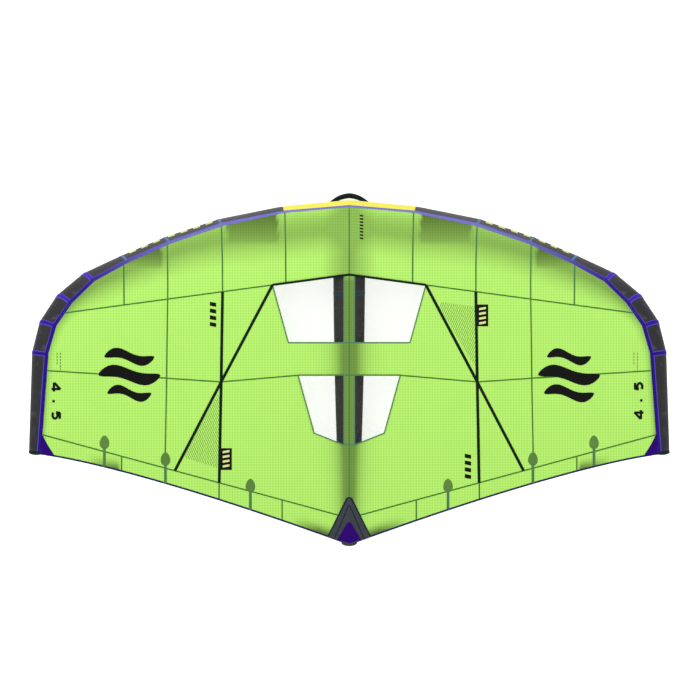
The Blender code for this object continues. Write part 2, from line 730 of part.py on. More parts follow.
def make_tube(tube):
    """The sewn panels of the leading edge and the bladder inside them."""
    rings = tube.middle_rings(0.0, -HALF_GAP), tube.middle_rings(CASING_WALL, -HALF_GAP)
    casing = solid("leading_edge_middle_panel", *open_shell(*rings, (-1, 1)), "dacron_yellow")
    last = len(JOINT_SPAN_SHARES) - 1
    for k in range(1, last):
        outer = [tube.ring(k, 0.0, HALF_GAP), tube.ring(k + 1, 0.0, -HALF_GAP)]
        inner = [tube.ring(k, CASING_WALL, HALF_GAP), tube.ring(k + 1, CASING_WALL, -HALF_GAP)]
        if k + 1 < last:
            panel = solid(f"leading_edge_panel_{k}_right", *open_shell(outer, inner, (1,)), "dacron_grey")
        else:
            outer += tip_dome(tube, last, 0.0)
            inner += tip_dome(tube, last, CASING_WALL)
            data = cup_shell(outer, inner, (1,) * len(outer))
            panel = solid("leading_edge_tip_right", *data, "dacron_grey")
        mirror_copy(panel, panel.name.replace("_right", "_left"))
    inset = CASING_WALL + FILM_GAP
    right = [tube.ring(k, inset) for k in range(1, last + 1)]
    outer = [r * MIRROR_X for r in reversed(right)] + [tube.ring(0, inset)] + right
    inner_right = [tube.ring(k, inset + FILM_WALL) for k in range(1, last)]
    inner_right.append(tube.ring(last, inset + FILM_WALL, -FILM_WALL))
    inner = [r * MIRROR_X for r in reversed(inner_right)] + [tube.ring(0, inset + FILM_WALL)] + inner_right
    data = nested_shell(outer, inner, (-1,) * last + (1,) * last)
    bladder = solid("leading_edge_bladder", *data, "bladder_film", recalculate=False)
    return casing, bladder


def tip_dome(tube, joint, inset):
    """Rings of the bulged end past the last joint."""
    rings = []
    radius = tube.radius[joint] - inset
    for angle in DOME_ANGLES:
        shrunk = inset + radius * (1 - math.cos(angle))
        rings.append(tube.ring(joint, shrunk, radius * CAP_BULGE_SHARE * math.sin(angle)))
    return rings


class Strut:
    """The tapered tube along the middle, its top following the canopy."""

    def __init__(self, canopy):
        self.canopy = canopy
        self.start_y = FRONT_Y - STRUT_START_CHORD_SHARE * ROOT_CHORD
        self.end_y = AFT_Y + STRUT_DOME
        self.seams = [FRONT_Y - share * ROOT_CHORD for share in STRUT_SEAM_CHORD_SHARES]
        seams = (FRONT_SEAM_SHARES, MIDDLE_SEAM_SHARES, TRAILING_SEAM_SHARES)
        corners = [float(canopy.seam_y(s)(0)) for s in seams]
        steps = math.ceil((self.start_y - self.end_y) / CENTRE_STEP)
        even = list(np.linspace(self.start_y, self.end_y, steps + 1))
        fixed = corners + self.seams
        even = [y for y in even if min(abs(y - f) for f in fixed) > CENTRE_STEP / 4]
        self.stations = sorted({self.start_y, self.end_y, *even, *fixed}, reverse=True)

    def top(self, y):
        """Height of the strut's top line."""
        return float(self.canopy.height(0, y)) - SHEET / 2 - GAP

    def ring(self, y, inset, shrink_share=1.0, shift=0.0):
        """A ring in a plane across the strut."""
        radius = strut_radius(y)
        centre = (0.0, y + shift, self.top(y) - radius)
        radius = (radius - inset) * shrink_share
        return ring(centre, RIGHT, UP, radius, radius, STRUT_SIDES)

    def rings(self, start_y, end_y, inset):
        """Rings between two places along the strut."""
        between = [y for y in self.stations if end_y + GAP < y < start_y - GAP]
        return [self.ring(y, inset) for y in (start_y, *between, end_y)]

    def dome(self, inset):
        """Rings of the rounded aft end."""
        rings = []
        for angle in DOME_ANGLES:
            reach = -(STRUT_DOME - inset) * math.sin(angle) / math.sin(DOME_ANGLES[-1])
            rings.append(self.ring(self.end_y, inset, math.cos(angle), reach))
        return rings

    def cutter(self, clearance):
        """A solid of the strut's shape, grown by a clearance."""
        rings = self.rings(self.start_y, self.end_y, -clearance)
        return solid("cutter", *closed_loft(rings), "dacron_grey")

    def underside(self, y):
        """The lowest point of the strut at a place along it."""
        return np.array((0.0, y, self.top(y) - 2 * strut_radius(y)))


def make_strut(strut, tube):
    """Three sewn casings and the bladder inside them, the front end fitted to the leading edge."""
    names = ("strut_front_casing", "strut_middle_casing", "strut_rear_casing")
    starts = [strut.start_y] + [y - HALF_GAP for y in strut.seams]
    ends = [y + HALF_GAP for y in strut.seams] + [strut.end_y]
    casings = []
    for name, start_y, end_y in zip(names, starts, ends):
        outer, inner = strut.rings(start_y, end_y, 0.0), strut.rings(start_y, end_y, CASING_WALL)
        if name == names[-1]:
            data = cup_shell(outer + strut.dome(0.0), inner + strut.dome(CASING_WALL))
        else:
            data = open_shell(outer, inner)
        casings.append(solid(name, *data, "dacron_grey"))
    boolean(casings[0], tube.middle_cutter(GAP), "DIFFERENCE")
    inset = CASING_WALL + FILM_GAP
    outer = strut.rings(strut.start_y, strut.end_y, inset)
    inner = strut.rings(strut.start_y, strut.end_y + FILM_WALL, inset + FILM_WALL)
    bladder = solid("strut_bladder", *closed_loft(outer), "bladder_film")
    boolean(bladder, tube.middle_cutter(GAP), "DIFFERENCE")
    hollow = solid("hollow", *closed_loft(inner), "bladder_film")
    boolean(hollow, tube.middle_cutter(GAP + FILM_WALL), "DIFFERENCE")
    boolean(bladder, hollow, "DIFFERENCE")
    return casings, bladder


class Frame:
    """A place with three square directions: across, along and out of the surface it stands on."""

    def __init__(self, origin, across, along, out):
        self.origin = np.asarray(origin, float)
        self.across = np.asarray(across, float) / np.linalg.norm(across)
        self.along = np.asarray(along, float) / np.linalg.norm(along)
        self.out = np.asarray(out, float) / np.linalg.norm(out)

    def at(self, across, along, out):
        """World position of a point given in this frame."""
        return self.origin + across * self.across + along * self.along + out * self.out

    def moved(self, across, along, out):
        """The same directions at another place."""
        return Frame(self.at(across, along, out), self.across, self.along, self.out)

    def box(self, name, low, high, finish):
        """A box between two corners given in this frame."""
        low, high = np.array(low), np.array(high)
        centre = self.at(*((low + high) / 2))
        return block(name, centre, (self.across, self.along, self.out), (high - low) / 2, finish)

    def spun(self, name, profile, finish, sides=ROUND_SIDES):
        """A solid of revolution about the outward direction, from (radius, height) pairs."""
        return turned(name, profile, self.origin, self.out, finish, sides)

    def pin(self, name, radius, half_width, finish, sides=SMALL_SIDES):
        """A round bar along the frame's along direction."""
        profile = ((radius, -half_width), (radius, half_width))
        return turned(name, profile, self.origin, self.along, finish, sides)

    def ear(self, name, radius, drop, start, end, finish):
        """A plate with a round top about the origin, between two places along the frame."""
        angles = np.linspace(0, math.pi, SMALL_SIDES // 2 + 1)
        outline = [(radius * math.cos(a), radius * math.sin(a)) for a in angles]
        outline += [(-radius, -drop), (radius, -drop)]
        rings = [np.array([self.at(u, along, v) for u, v in outline]) for along in (start, end)]
        return solid(name, *closed_loft(rings), finish)


def set_origin(obj, point):
    """Move an object's origin to a point without moving its shape."""
    obj.data.transform(Matrix.Translation(-Vector(point)))
    obj.location = Vector(point)


def clevis(obj, frame, eye_width, ear, radius, drop, pin_radius, finish):
    """Join two ears and the pin between them to an object."""
    start = eye_width / 2 + RUNNING_GAP
    boolean(obj, frame.ear("ear", radius, drop, start, start + ear, finish), "UNION")
    boolean(obj, frame.ear("ear", radius, drop, -start - ear, -start, finish), "UNION")
    boolean(obj, frame.pin("pin", pin_radius, start + ear / 2, finish), "UNION")


def make_battens(canopy):
    """Flat glass fibre battens under the trailing edge."""
    for number, span_share in enumerate(BATTEN_SPAN_SHARES, start=1):
        x = span_share * HALF_SPAN
        aft_y = float(canopy.trailing_y(x)) + BATTEN_HEM
        rings = []
        for y in np.linspace(aft_y, aft_y + BATTEN_LENGTH, BATTEN_STEPS):
            top = -SHEET / 2 - BATTEN_DROP
            low = top - BATTEN_THICKNESS
            edge = BATTEN_WIDTH / 2
            corners = ((-edge, low), (edge, low), (edge, top), (-edge, top))
            rings.append(np.array([canopy.point(x + across, y, drop) for across, drop in corners]))
        batten = solid(f"batten_{number}_right", *closed_loft(rings), "glass_fibre")
        mirror_copy(batten, f"batten_{number}_left")


def rounded_outline(half_length, half_width, corner):
    """Points of a rectangle with round corners, anticlockwise."""
    points = []
    for quarter, (sx, sy) in enumerate(((1, 1), (-1, 1), (-1, -1), (1, -1))):
        for angle in np.linspace(quarter, quarter + 1, BRACKET_CORNER_POINTS) * math.pi / 2:
            x = sx * (half_length - corner) + corner * math.cos(angle)
            y = sy * (half_width - corner) + corner * math.sin(angle)
            points.append((x, y))
    return points


def make_bracket(name, frame, strut):
    """A moulded plate shaped to the strut's underside, with a socket for a grip's foot."""
    half_length, half_width = BRACKET_LENGTH / 2, BRACKET_WIDTH / 2
    inner = (half_length - BRACKET_CHAMFER, half_width - BRACKET_CHAMFER, BRACKET_CORNER - BRACKET_CHAMFER)
    levels = (
        ((half_length, half_width, BRACKET_CORNER), -BRACKET_SINK),
        ((half_length, half_width, BRACKET_CORNER), BRACKET_EDGE - BRACKET_CHAMFER),
        (inner, BRACKET_EDGE),
    )
    rings = []
    for sizes, out in levels:
        rings.append(np.array([frame.at(across, along, out) for along, across in rounded_outline(*sizes)]))
    plate = solid(name, *closed_loft(rings), "moulded_black")
    boolean(plate, strut.cutter(GAP), "DIFFERENCE")
    end = BRACKET_EDGE + SOCKET_HEIGHT
    wide = SOCKET_RADIUS + SOCKET_LIP
    profile = ((wide, BRACKET_EDGE / 2), (wide, BRACKET_EDGE + SOCKET_LIP))
    profile += ((SOCKET_RADIUS, end - SOCKET_LIP), (SOCKET_RADIUS - SOCKET_LIP, end))
    boolean(plate, frame.spun("boss", profile, "moulded_black"), "UNION")
    bore = GRIP_WIDTH / 2 + RUNNING_GAP
    hole = frame.spun("hole", ((bore, end - SOCKET_DEPTH), (bore, end + OVERRUN)), "moulded_black")
    return boolean(plate, hole, "DIFFERENCE")


def grip_path(spread):
    """Points (along, out) down the middle of a grip from one foot to the other."""
    foot = BRACKET_EDGE + SOCKET_HEIGHT - SOCKET_DEPTH + GAP
    bar = GRIP_DROP - GRIP_DEPTH / 2
    path = [(-spread / 2, foot)]
    for angle in np.linspace(0, math.pi / 2, GRIP_CORNER_STEPS + 1):
        along = -spread / 2 + GRIP_CORNER * (1 - math.cos(angle))
        path.append((along, bar - GRIP_CORNER + GRIP_CORNER * math.sin(angle)))
    reach = spread / 2 - GRIP_CORNER
    path += [(along, bar) for along in np.linspace(-reach, reach, GRIP_BAR_STEPS + 1)[1:-1]]
    return path + [(-along, out) for along, out in path[GRIP_CORNER_STEPS + 1 :: -1]]


def make_grip(name, frame):
    """A D-shaped rigid grip, its bar swelling a little towards the middle."""
    path = np.array(grip_path(GRIP_SPREAD))
    tangents = np.gradient(path, axis=0)
    tangents[0], tangents[-1] = (0, 1), (0, -1)
    rings = []
    for (along, out), tangent in zip(path, tangents):
        tangent = tangent / np.linalg.norm(tangent)
        share = max(0.0, 1 - abs(along) / (GRIP_SPREAD / 2 - GRIP_CORNER))
        swell = 1 + GRIP_SWELL_SHARE * math.sin(share * math.pi / 2)
        side = tangent[1] * frame.along - tangent[0] * frame.out
        size = (GRIP_WIDTH / 2 * swell, GRIP_DEPTH / 2)
        rings.append(ring(frame.at(0, along, out), frame.across, side, *size, GRIP_SIDES))
    return solid(name, *closed_loft(rings), "grip_foam")


def make_grips(strut):
    """Front and rear grips under the strut, each in two brackets."""
    for name, share in zip(("front", "rear"), GRIP_CENTRE_CHORD_SHARES):
        centre_y = FRONT_Y - share * ROOT_CHORD
        front = strut.underside(centre_y + GRIP_SPREAD / 2)
        rear = strut.underside(centre_y - GRIP_SPREAD / 2)
        along = (front - rear) / np.linalg.norm(front - rear)
        out = np.cross(along, RIGHT)
        middle = Frame((front + rear) / 2, RIGHT, along, out)
        for end, place in (("front", 1), ("rear", -1)):
            seat = middle.moved(0, place * GRIP_SPREAD / 2, 0)
            make_bracket(f"{name}_grip_{end}_bracket", seat, strut)
        make_grip(f"{name}_grip", middle)


def make_nose_handle(tube):
    """An arch of padded webbing whose flat ends lie on the leading edge."""
    sewn = NOSE_HALF_WIDTH + NOSE_SEWN_LENGTH
    xs = [*np.linspace(0, NOSE_HALF_WIDTH, NOSE_STEPS), sewn]
    point, normal, _ = tube.facet(0, NOSE_FACET, GAP + NOSE_PAD_THICKNESS / 2)
    half_depth = math.hypot(NOSE_PAD_THICKNESS / 2 * normal[1], NOSE_WIDTH / 2 * normal[2])
    arch = (FRONT_Y + HANDLE_REACH - half_depth - point[1]) / normal[1]
    centres, normals, thicknesses = [], [], []
    for x in xs:
        share = min(x / NOSE_HALF_WIDTH, 1.0)
        rise = arch * (1 - share**2) ** NOSE_ARCH_POWER
        thickness = NOSE_WEBBING + (NOSE_PAD_THICKNESS - NOSE_WEBBING) * math.sqrt(1 - share**2)
        point, normal, _ = tube.facet(x, NOSE_FACET, GAP + thickness / 2 + rise)
        if x == 0:
            normal = normal * (UP + np.cross(UP, RIGHT))
            normal /= np.linalg.norm(normal)
        centres.append(point)
        normals.append(normal)
        thicknesses.append(thickness)
    tangents = np.gradient(np.array(centres), axis=0)
    tangents[0] = RIGHT
    tangents[-1] = tube.segment(0)
    right = []
    for centre, normal, tangent, thickness in zip(centres, normals, tangents, thicknesses):
        tangent = tangent / np.linalg.norm(tangent)
        width = np.cross(normal, tangent)
        width /= np.linalg.norm(width)
        upward = np.cross(tangent, width)
        right.append(ring(centre, width, upward, NOSE_WIDTH / 2, thickness / 2, NOSE_SIDES))
    rings = [r * MIRROR_X for r in right[:0:-1]] + right
    return solid("nose_handle", *closed_loft(rings), "webbing_black")


def valve_frame(tube):
    """The place of the inflation valve, its across direction pointing up the tube's side."""
    x = tube.axis[1][0] - VALVE_FLANGE_RADIUS - VALVE_SEAM_CLEARANCE
    point, normal, direction = tube.facet(x, VALVE_FACET)
    return Frame(point, np.cross(normal, direction), direction, normal)


def valve_hinge(frame):
    """The place of the cap's hinge on the valve."""
    return frame.moved(CAP_HINGE_OFFSET, 0, VALVE_FLANGE_RISE + HINGE_RISE)


def make_valve(tube, casing, bladder):
    """Valve body through the casing and bladder, with its plug, non-return poppet and hinged cap."""
    frame = valve_frame(tube)
    hinge = valve_hinge(frame)
    profile = ((VALVE_FLANGE_RADIUS, -VALVE_FLANGE_SINK), (VALVE_FLANGE_RADIUS, VALVE_RIM))
    profile += (((VALVE_NECK_RADIUS + VALVE_BORE_RADIUS) / 2, VALVE_FLANGE_RISE),)
    body = frame.spun("valve_body", profile, "valve_rubber")
    boolean(body, tube.middle_cutter(GAP), "DIFFERENCE")
    drop = HINGE_RISE + VALVE_FLANGE_RISE * 3 / 2
    sizes = (HINGE_EYE_WIDTH, HINGE_EAR, HINGE_EYE_RADIUS, drop, HINGE_PIN_RADIUS)
    clevis(body, hinge, *sizes, "valve_rubber")
    profile = ((VALVE_NECK_RADIUS, -VALVE_SKIRT), (VALVE_NECK_RADIUS, VALVE_NECK_RISE))
    boolean(body, frame.spun("neck", profile, "valve_rubber"), "UNION")
    through = ((VALVE_BORE_RADIUS, -VALVE_SKIRT - OVERRUN), (VALVE_BORE_RADIUS, VALVE_NECK_RISE + OVERRUN))
    boolean(body, frame.spun("bore", through, "valve_rubber"), "DIFFERENCE")
    opening = VALVE_NECK_RADIUS + GAP
    profile = ((opening, -VALVE_SKIRT), (opening, OVERRUN))
    for skin in (casing, bladder):
        boolean(skin, frame.spun("hole", profile, "dacron_grey"), "DIFFERENCE")

    rim_low = VALVE_NECK_RISE + GAP
    rim_top = rim_low + PLUG_RIM
    plug_radius = VALVE_BORE_RADIUS - RUNNING_GAP
    profile = ((plug_radius, rim_top - PLUG_DEPTH), (plug_radius, rim_low))
    profile += ((PLUG_RIM_RADIUS, rim_low), (PLUG_RIM_RADIUS, rim_top))
    plug = frame.spun("valve_plug", profile, "moulded_black")
    through = ((PLUG_BORE_RADIUS, rim_top - PLUG_DEPTH - OVERRUN), (PLUG_BORE_RADIUS, rim_top + OVERRUN))
    boolean(plug, frame.spun("bore", through, "moulded_black"), "DIFFERENCE")
    bar_top = rim_top - PLUG_RIM - PLUG_BAR_DROP
    reach = PLUG_BORE_RADIUS + RUNNING_GAP
    low, high = (-reach, -PLUG_BAR / 2, bar_top - PLUG_BAR_HEIGHT), (reach, PLUG_BAR / 2, bar_top)
    boolean(plug, frame.box("bar", low, high, "moulded_black"), "UNION")
    guide = POPPET_STEM_RADIUS + RUNNING_GAP
    profile = ((guide, bar_top - PLUG_BAR_HEIGHT - OVERRUN), (guide, bar_top + OVERRUN))
    boolean(plug, frame.spun("guide", profile, "moulded_black", SMALL_SIDES), "DIFFERENCE")
    set_origin(plug, frame.origin)

    seat = rim_top - PLUG_DEPTH - GAP
    button_low = rim_top - POPPET_BUTTON
    profile = ((POPPET_RADIUS, seat - POPPET_DISC), (POPPET_RADIUS, seat), (POPPET_STEM_RADIUS, seat))
    profile += ((POPPET_STEM_RADIUS, button_low), (POPPET_BUTTON_RADIUS, button_low))
    profile += ((POPPET_BUTTON_RADIUS, rim_top),)
    poppet = frame.spun("valve_poppet", profile, "valve_rubber", SMALL_SIDES)
    set_origin(poppet, frame.origin)

    lid = rim_top + GAP
    edge = CAP_TOP / 2
    profile = ((CAP_RADIUS, lid - CAP_SKIRT), (CAP_RADIUS, lid + CAP_TOP - edge))
    profile += ((CAP_RADIUS - edge, lid + CAP_TOP),)
    cap = frame.spun("valve_cap", profile, "moulded_black")
    inside = CAP_RADIUS - CAP_SKIRT_WALL
    hollow = ((inside, lid - CAP_SKIRT - OVERRUN), (inside, lid))
    boolean(cap, frame.spun("hollow", hollow, "moulded_black"), "DIFFERENCE")
    half_eye = HINGE_EYE_WIDTH / 2
    profile = ((HINGE_EYE_RADIUS, -half_eye), (HINGE_EYE_RADIUS, half_eye))
    eye = turned("eye", profile, hinge.origin, hinge.along, "moulded_black", SMALL_SIDES)
    reach = CAP_HINGE_OFFSET - CAP_RADIUS + CAP_SKIRT_WALL / 2
    arm_half = HINGE_EYE_RADIUS - HINGE_PIN_RADIUS / 2
    arm_width = half_eye - GAP
    arm = hinge.box("arm", (-reach, -arm_width, 0), (0, arm_width, arm_half), "moulded_black")
    boolean(cap, arm, "UNION")
    boolean(cap, eye, "UNION")
    hole = hinge.pin("hole", HINGE_PIN_RADIUS + RUNNING_GAP, half_eye + OVERRUN, "moulded_black")
    boolean(cap, hole, "DIFFERENCE")
    set_origin(cap, hinge.origin)


def hose_ends(tube, strut, casing):
    """The places of the hose's two fittings."""
    point, normal, direction = tube.facet(STRUT_RADIUS + HOSE_STRUT_CLEARANCE, HOSE_FACET)
    first = Frame(point, np.cross(direction, normal), direction, normal)
    y = FRONT_Y - HOSE_STRUT_CHORD_SHARE * ROOT_CHORD
    radius = strut_radius(y)
    side = np.array((math.cos(HOSE_STRUT_ANGLE), 0.0, math.sin(HOSE_STRUT_ANGLE)))
    centre = np.array((0.0, y, strut.top(y) - radius))
    _, place, normal, _ = casing.closest_point_on_mesh(Vector(centre + side * (radius + OVERRUN)))
    out = np.array(normal)
    second = Frame(np.array(place), np.cross(UP, out), np.cross(out, np.cross(UP, out)), out)
    return first, second


def make_fitting(name, frame, skins, cutter):
    """A flanged spigot through a casing and its bladder, its flange fitted to the casing."""
    low, high = -SPIGOT_IN, HOSE_COLLAR + SPIGOT_OUT
    profile = ((HOSE_COLLAR_RADIUS, -HOSE_COLLAR), (HOSE_COLLAR_RADIUS, HOSE_COLLAR / 2))
    profile += ((HOSE_RADIUS, HOSE_COLLAR),)
    fitting = frame.spun(name, profile, "valve_rubber", SMALL_SIDES)
    boolean(fitting, cutter, "DIFFERENCE")
    profile = ((SPIGOT_RADIUS, low), (SPIGOT_RADIUS, high))
    boolean(fitting, frame.spun("spigot", profile, "valve_rubber", SMALL_SIDES), "UNION")
    bore = ((SPIGOT_BORE_RADIUS, low - OVERRUN), (SPIGOT_BORE_RADIUS, high + OVERRUN))
    boolean(fitting, frame.spun("bore", bore, "valve_rubber", SMALL_SIDES), "DIFFERENCE")
    hole = ((SPIGOT_RADIUS + GAP, low), (SPIGOT_RADIUS + GAP, OVERRUN))
    for skin in skins:
        boolean(skin, frame.spun("hole", hole, "valve_rubber", SMALL_SIDES), "DIFFERENCE")


def hose_route(first, second):
    """Points along the hose, straight over each spigot and curved between them."""
    base = GAP + HOSE_COLLAR
    start, end = first.at(0, 0, base), second.at(0, 0, base)
    lead, tail = first.at(0, 0, base + HOSE_STRAIGHT), second.at(0, 0, base + HOSE_STRAIGHT)
    lead_pull, tail_pull = lead + HOSE_REACH * first.out, tail + HOSE_REACH * second.out
    points = [start]
    for t in np.linspace(0, 1, HOSE_STEPS):
        ahead = (1 - t) ** 3 * lead + 3 * t * (1 - t) ** 2 * lead_pull
        points.append(ahead + 3 * t**2 * (1 - t) * tail_pull + t**3 * tail)
    return np.array(points + [end])


def make_hose(first, second):
    """The air hose between the two spigots."""
    route = hose_route(first, second)
    tangents = np.gradient(route, axis=0)
    tangents[0], tangents[1] = first.out, first.out
    tangents[-1], tangents[-2] = -second.out, -second.out
    level = first.along
    outer, inner = [], []
    for centre, tangent in zip(route, tangents):
        tangent = tangent / np.linalg.norm(tangent)
        level = level - tangent * (level @ tangent)
        level /= np.linalg.norm(level)
        across = np.cross(tangent, level)
        outer.append(ring(centre, level, across, HOSE_RADIUS, HOSE_RADIUS, HOSE_SIDES))
        inner.append(ring(centre, level, across, HOSE_BORE_RADIUS, HOSE_BORE_RADIUS, HOSE_SIDES))
    return solid("air_hose", *open_shell(outer, inner), "valve_rubber")


def clip_frame(first, second):
    """The place of the pinch clip, at the middle of the hose, along pointing down the hose."""
    route = hose_route(first, second)
    middle = len(route) // 2
    along = route[middle] - route[middle - 1]
    centre = (route[middle] + route[middle - 1]) / 2
    across = np.cross(along, UP)
    across /= np.linalg.norm(across)
    return Frame(centre, along, across, np.cross(across, along))


def clip_hinge(frame):
    """The place of the lever's hinge on the clip, its along direction down the pin."""
    clear = HOSE_RADIUS + CLIP_GAP
    origin = frame.at(0, -clear - CLIP_POST / 2, clear + CLIP_BAR / 2)
    return Frame(origin, frame.along, frame.across, frame.out)


def make_clip(first, second):
    """A pinch clip: a base under the hose with a post at each side, and a lever hinged on one post."""
    frame = clip_frame(first, second)
    clear = HOSE_RADIUS + CLIP_GAP
    half = CLIP_WIDTH / 2
    outer = clear + CLIP_POST
    low, high = (-half, -outer, -clear - CLIP_BAR), (half, outer, -clear)
    base = frame.box("hose_clip_base", low, high, "moulded_black")
    low, high = (GAP - half, clear, -clear - CLIP_BAR / 2), (half - GAP, outer - GAP, clear)
    boolean(base, frame.box("post", low, high, "moulded_black"), "UNION")
    pivot = clip_hinge(frame)
    drop = 2 * clear + CLIP_BAR
    ear_radius = CLIP_POST / 2 - GAP
    clevis(base, pivot, CLIP_EYE_WIDTH, CLIP_EAR, ear_radius, drop, CLIP_PIN_RADIUS, "moulded_black")
    half_eye = CLIP_EYE_WIDTH / 2
    reach = clear * 2 + CLIP_POST + CLIP_TAIL
    bar_half = half_eye - GAP
    low, high = (0, -bar_half, GAP - CLIP_BAR / 2), (reach, bar_half, GAP + CLIP_BAR / 2)
    lever = pivot.box("hose_clip_lever", low, high, "moulded_black")
    profile = ((CLIP_EYE_RADIUS, -half_eye), (CLIP_EYE_RADIUS, half_eye))
    boolean(lever, turned("eye", profile, pivot.origin, pivot.along, "moulded_black", SMALL_SIDES), "UNION")
    hole = pivot.pin("pin hole", CLIP_PIN_RADIUS + RUNNING_GAP, half_eye + OVERRUN, "moulded_black")
    boolean(lever, hole, "DIFFERENCE")
    set_origin(lever, pivot.origin)


def zip_frame(tube, share):
    """A place along the zip, across pointing round the tube and along pointing to the wing's left."""
    length = tube.axis[1][0]
    start = tube.facet(-ZIP_START_SHARE * length, ZIP_FACET)[0]
    end, normal, _ = tube.facet(-ZIP_END_SHARE * length, ZIP_FACET)
    along = (end - start) / np.linalg.norm(end - start)
    across = np.cross(normal, along)
    place = start + (end - start) * (share - ZIP_START_SHARE) / (ZIP_END_SHARE - ZIP_START_SHARE)
    return Frame(place, across, along, np.cross(along, across))


def pull_hinge(slider_frame):
    """The place of the zip pull's hinge on the slider."""
    top = ZIP_SEAT_GAP + ZIP_HEIGHT + RUNNING_GAP + SLIDER_WALL
    origin = slider_frame.at(0, 0, top + PULL_EYE_RADIUS + RUNNING_GAP)
    return Frame(origin, slider_frame.out, slider_frame.across, slider_frame.along)


def make_zip(tube):
    """The zip over the bladder opening, its slider and the slider's pull."""
    start, end = zip_frame(tube, ZIP_START_SHARE), zip_frame(tube, ZIP_END_SHARE)
    tape, chain = ZIP_TAPE / 2, ZIP_CHAIN / 2
    low, flat, high = ZIP_SEAT_GAP, ZIP_SEAT_GAP + ZIP_TAPE_THICKNESS, ZIP_SEAT_GAP + ZIP_HEIGHT
    outline = ((-tape, low), (tape, low), (tape, flat), (chain, flat), (chain, high), (-chain, high))
    outline += ((-chain, flat), (-tape, flat))
    rings = [np.array([frame.at(u, 0, v) for u, v in outline]) for frame in (start, end)]
    solid("bladder_zip", *closed_loft(rings), "webbing_black")

    place = zip_frame(tube, ZIP_START_SHARE + SLIDER_SHARE)
    inner, outer = chain + RUNNING_GAP, SLIDER_WIDTH / 2
    floor, roof = flat + RUNNING_GAP, high + RUNNING_GAP
    top = roof + SLIDER_WALL
    outline = ((-outer, floor), (-inner, floor), (-inner, roof), (inner, roof))
    outline += ((inner, floor), (outer, floor), (outer, top), (-outer, top))
    half = SLIDER_LENGTH / 2
    rings = [np.array([place.at(u, along, v) for u, v in outline]) for along in (-half, half)]
    slider = solid("zip_slider", *closed_loft(rings), "zip_metal")
    hinge = pull_hinge(place)
    upright = Frame(hinge.origin, place.along, place.across, place.out)
    drop = PULL_EYE_RADIUS + RUNNING_GAP + SLIDER_WALL / 2
    clevis(slider, upright, PULL_EYE_WIDTH, PULL_EAR, PULL_EAR_RADIUS, drop, PULL_PIN_RADIUS, "zip_metal")
    set_origin(slider, place.origin)

    half_eye = PULL_EYE_WIDTH / 2
    profile = ((PULL_EYE_RADIUS, -half_eye), (PULL_EYE_RADIUS, half_eye))
    pull = turned("zip_pull", profile, hinge.origin, hinge.along, "zip_metal", SMALL_SIDES)
    neck = half_eye - GAP
    low = (PULL_PIN_RADIUS, -neck, -PULL_THICKNESS / 2 + GAP)
    high = (PULL_LENGTH / 2, neck, PULL_THICKNESS / 2 - GAP)
    boolean(pull, hinge.box("neck", low, high, "zip_metal"), "UNION")
    low = (PULL_NECK, -PULL_WIDTH / 2, -PULL_THICKNESS / 2)
    high = (PULL_LENGTH, PULL_WIDTH / 2, PULL_THICKNESS / 2)
    boolean(pull, hinge.box("tab", low, high, "zip_metal"), "UNION")
    hole = hinge.pin("pin hole", PULL_PIN_RADIUS + RUNNING_GAP, half_eye + OVERRUN, "zip_metal")
    boolean(pull, hole, "DIFFERENCE")
    set_origin(pull, hinge.origin)


def main():
    """Build the whole wing."""
    clear_scene()
    make_materials()
    tube = LeadingEdge()
    canopy = Canopy(tube)
    strut = Strut(canopy)
    middle_casing, tube_bladder = make_tube(tube)
    strut_casings, strut_bladder = make_strut(strut, tube)
    make_canopy(canopy, strut.stations)
    make_battens(canopy)
    make_grips(strut)
    make_nose_handle(tube)
    make_valve(tube, middle_casing, tube_bladder)
    first, second = hose_ends(tube, strut, strut_casings[0])
    make_fitting("leading_edge_hose_fitting", first, (middle_casing, tube_bladder), tube.middle_cutter(GAP))
    make_fitting("strut_hose_fitting", second, (strut_casings[0], strut_bladder), strut.cutter(GAP))
    make_hose(first, second)
    make_clip(first, second)
    make_zip(tube)


if __name__ == "__main__":
    main()
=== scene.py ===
"""Looks of an inflatable hand-held wing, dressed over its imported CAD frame.

The wing lies on the middle of its leading edge tube and on the aft end of its strut. Lengths are in metres,
+X is the wing's right, +Y forward and +Z up. The plan is symmetric about x = 0, so a shape is worked out for
the right half and mirrored.
"""

import json
import logging
import math
from dataclasses import dataclass, field
from enum import Enum
from functools import partial
from typing import Callable, Optional, Sequence, Union

import bpy
import numpy as np
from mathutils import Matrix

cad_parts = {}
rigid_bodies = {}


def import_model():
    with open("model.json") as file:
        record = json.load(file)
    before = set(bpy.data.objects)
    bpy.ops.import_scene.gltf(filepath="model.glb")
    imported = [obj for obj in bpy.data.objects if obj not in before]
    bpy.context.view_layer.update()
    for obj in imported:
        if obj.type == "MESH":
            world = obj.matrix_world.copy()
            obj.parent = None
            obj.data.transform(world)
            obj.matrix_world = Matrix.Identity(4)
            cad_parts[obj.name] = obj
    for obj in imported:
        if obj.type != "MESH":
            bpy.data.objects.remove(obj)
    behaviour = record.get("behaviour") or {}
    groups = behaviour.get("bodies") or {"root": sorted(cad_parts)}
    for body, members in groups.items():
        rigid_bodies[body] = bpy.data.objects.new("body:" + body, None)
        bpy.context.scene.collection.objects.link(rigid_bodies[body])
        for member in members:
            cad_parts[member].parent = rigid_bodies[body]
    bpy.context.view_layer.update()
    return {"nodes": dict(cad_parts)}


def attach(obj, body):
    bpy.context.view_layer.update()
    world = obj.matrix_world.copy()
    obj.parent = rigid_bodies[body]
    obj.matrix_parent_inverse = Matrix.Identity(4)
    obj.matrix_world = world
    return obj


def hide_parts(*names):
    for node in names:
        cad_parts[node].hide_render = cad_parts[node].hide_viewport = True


for leftover in list(bpy.data.objects):
    bpy.data.objects.remove(leftover)
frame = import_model()

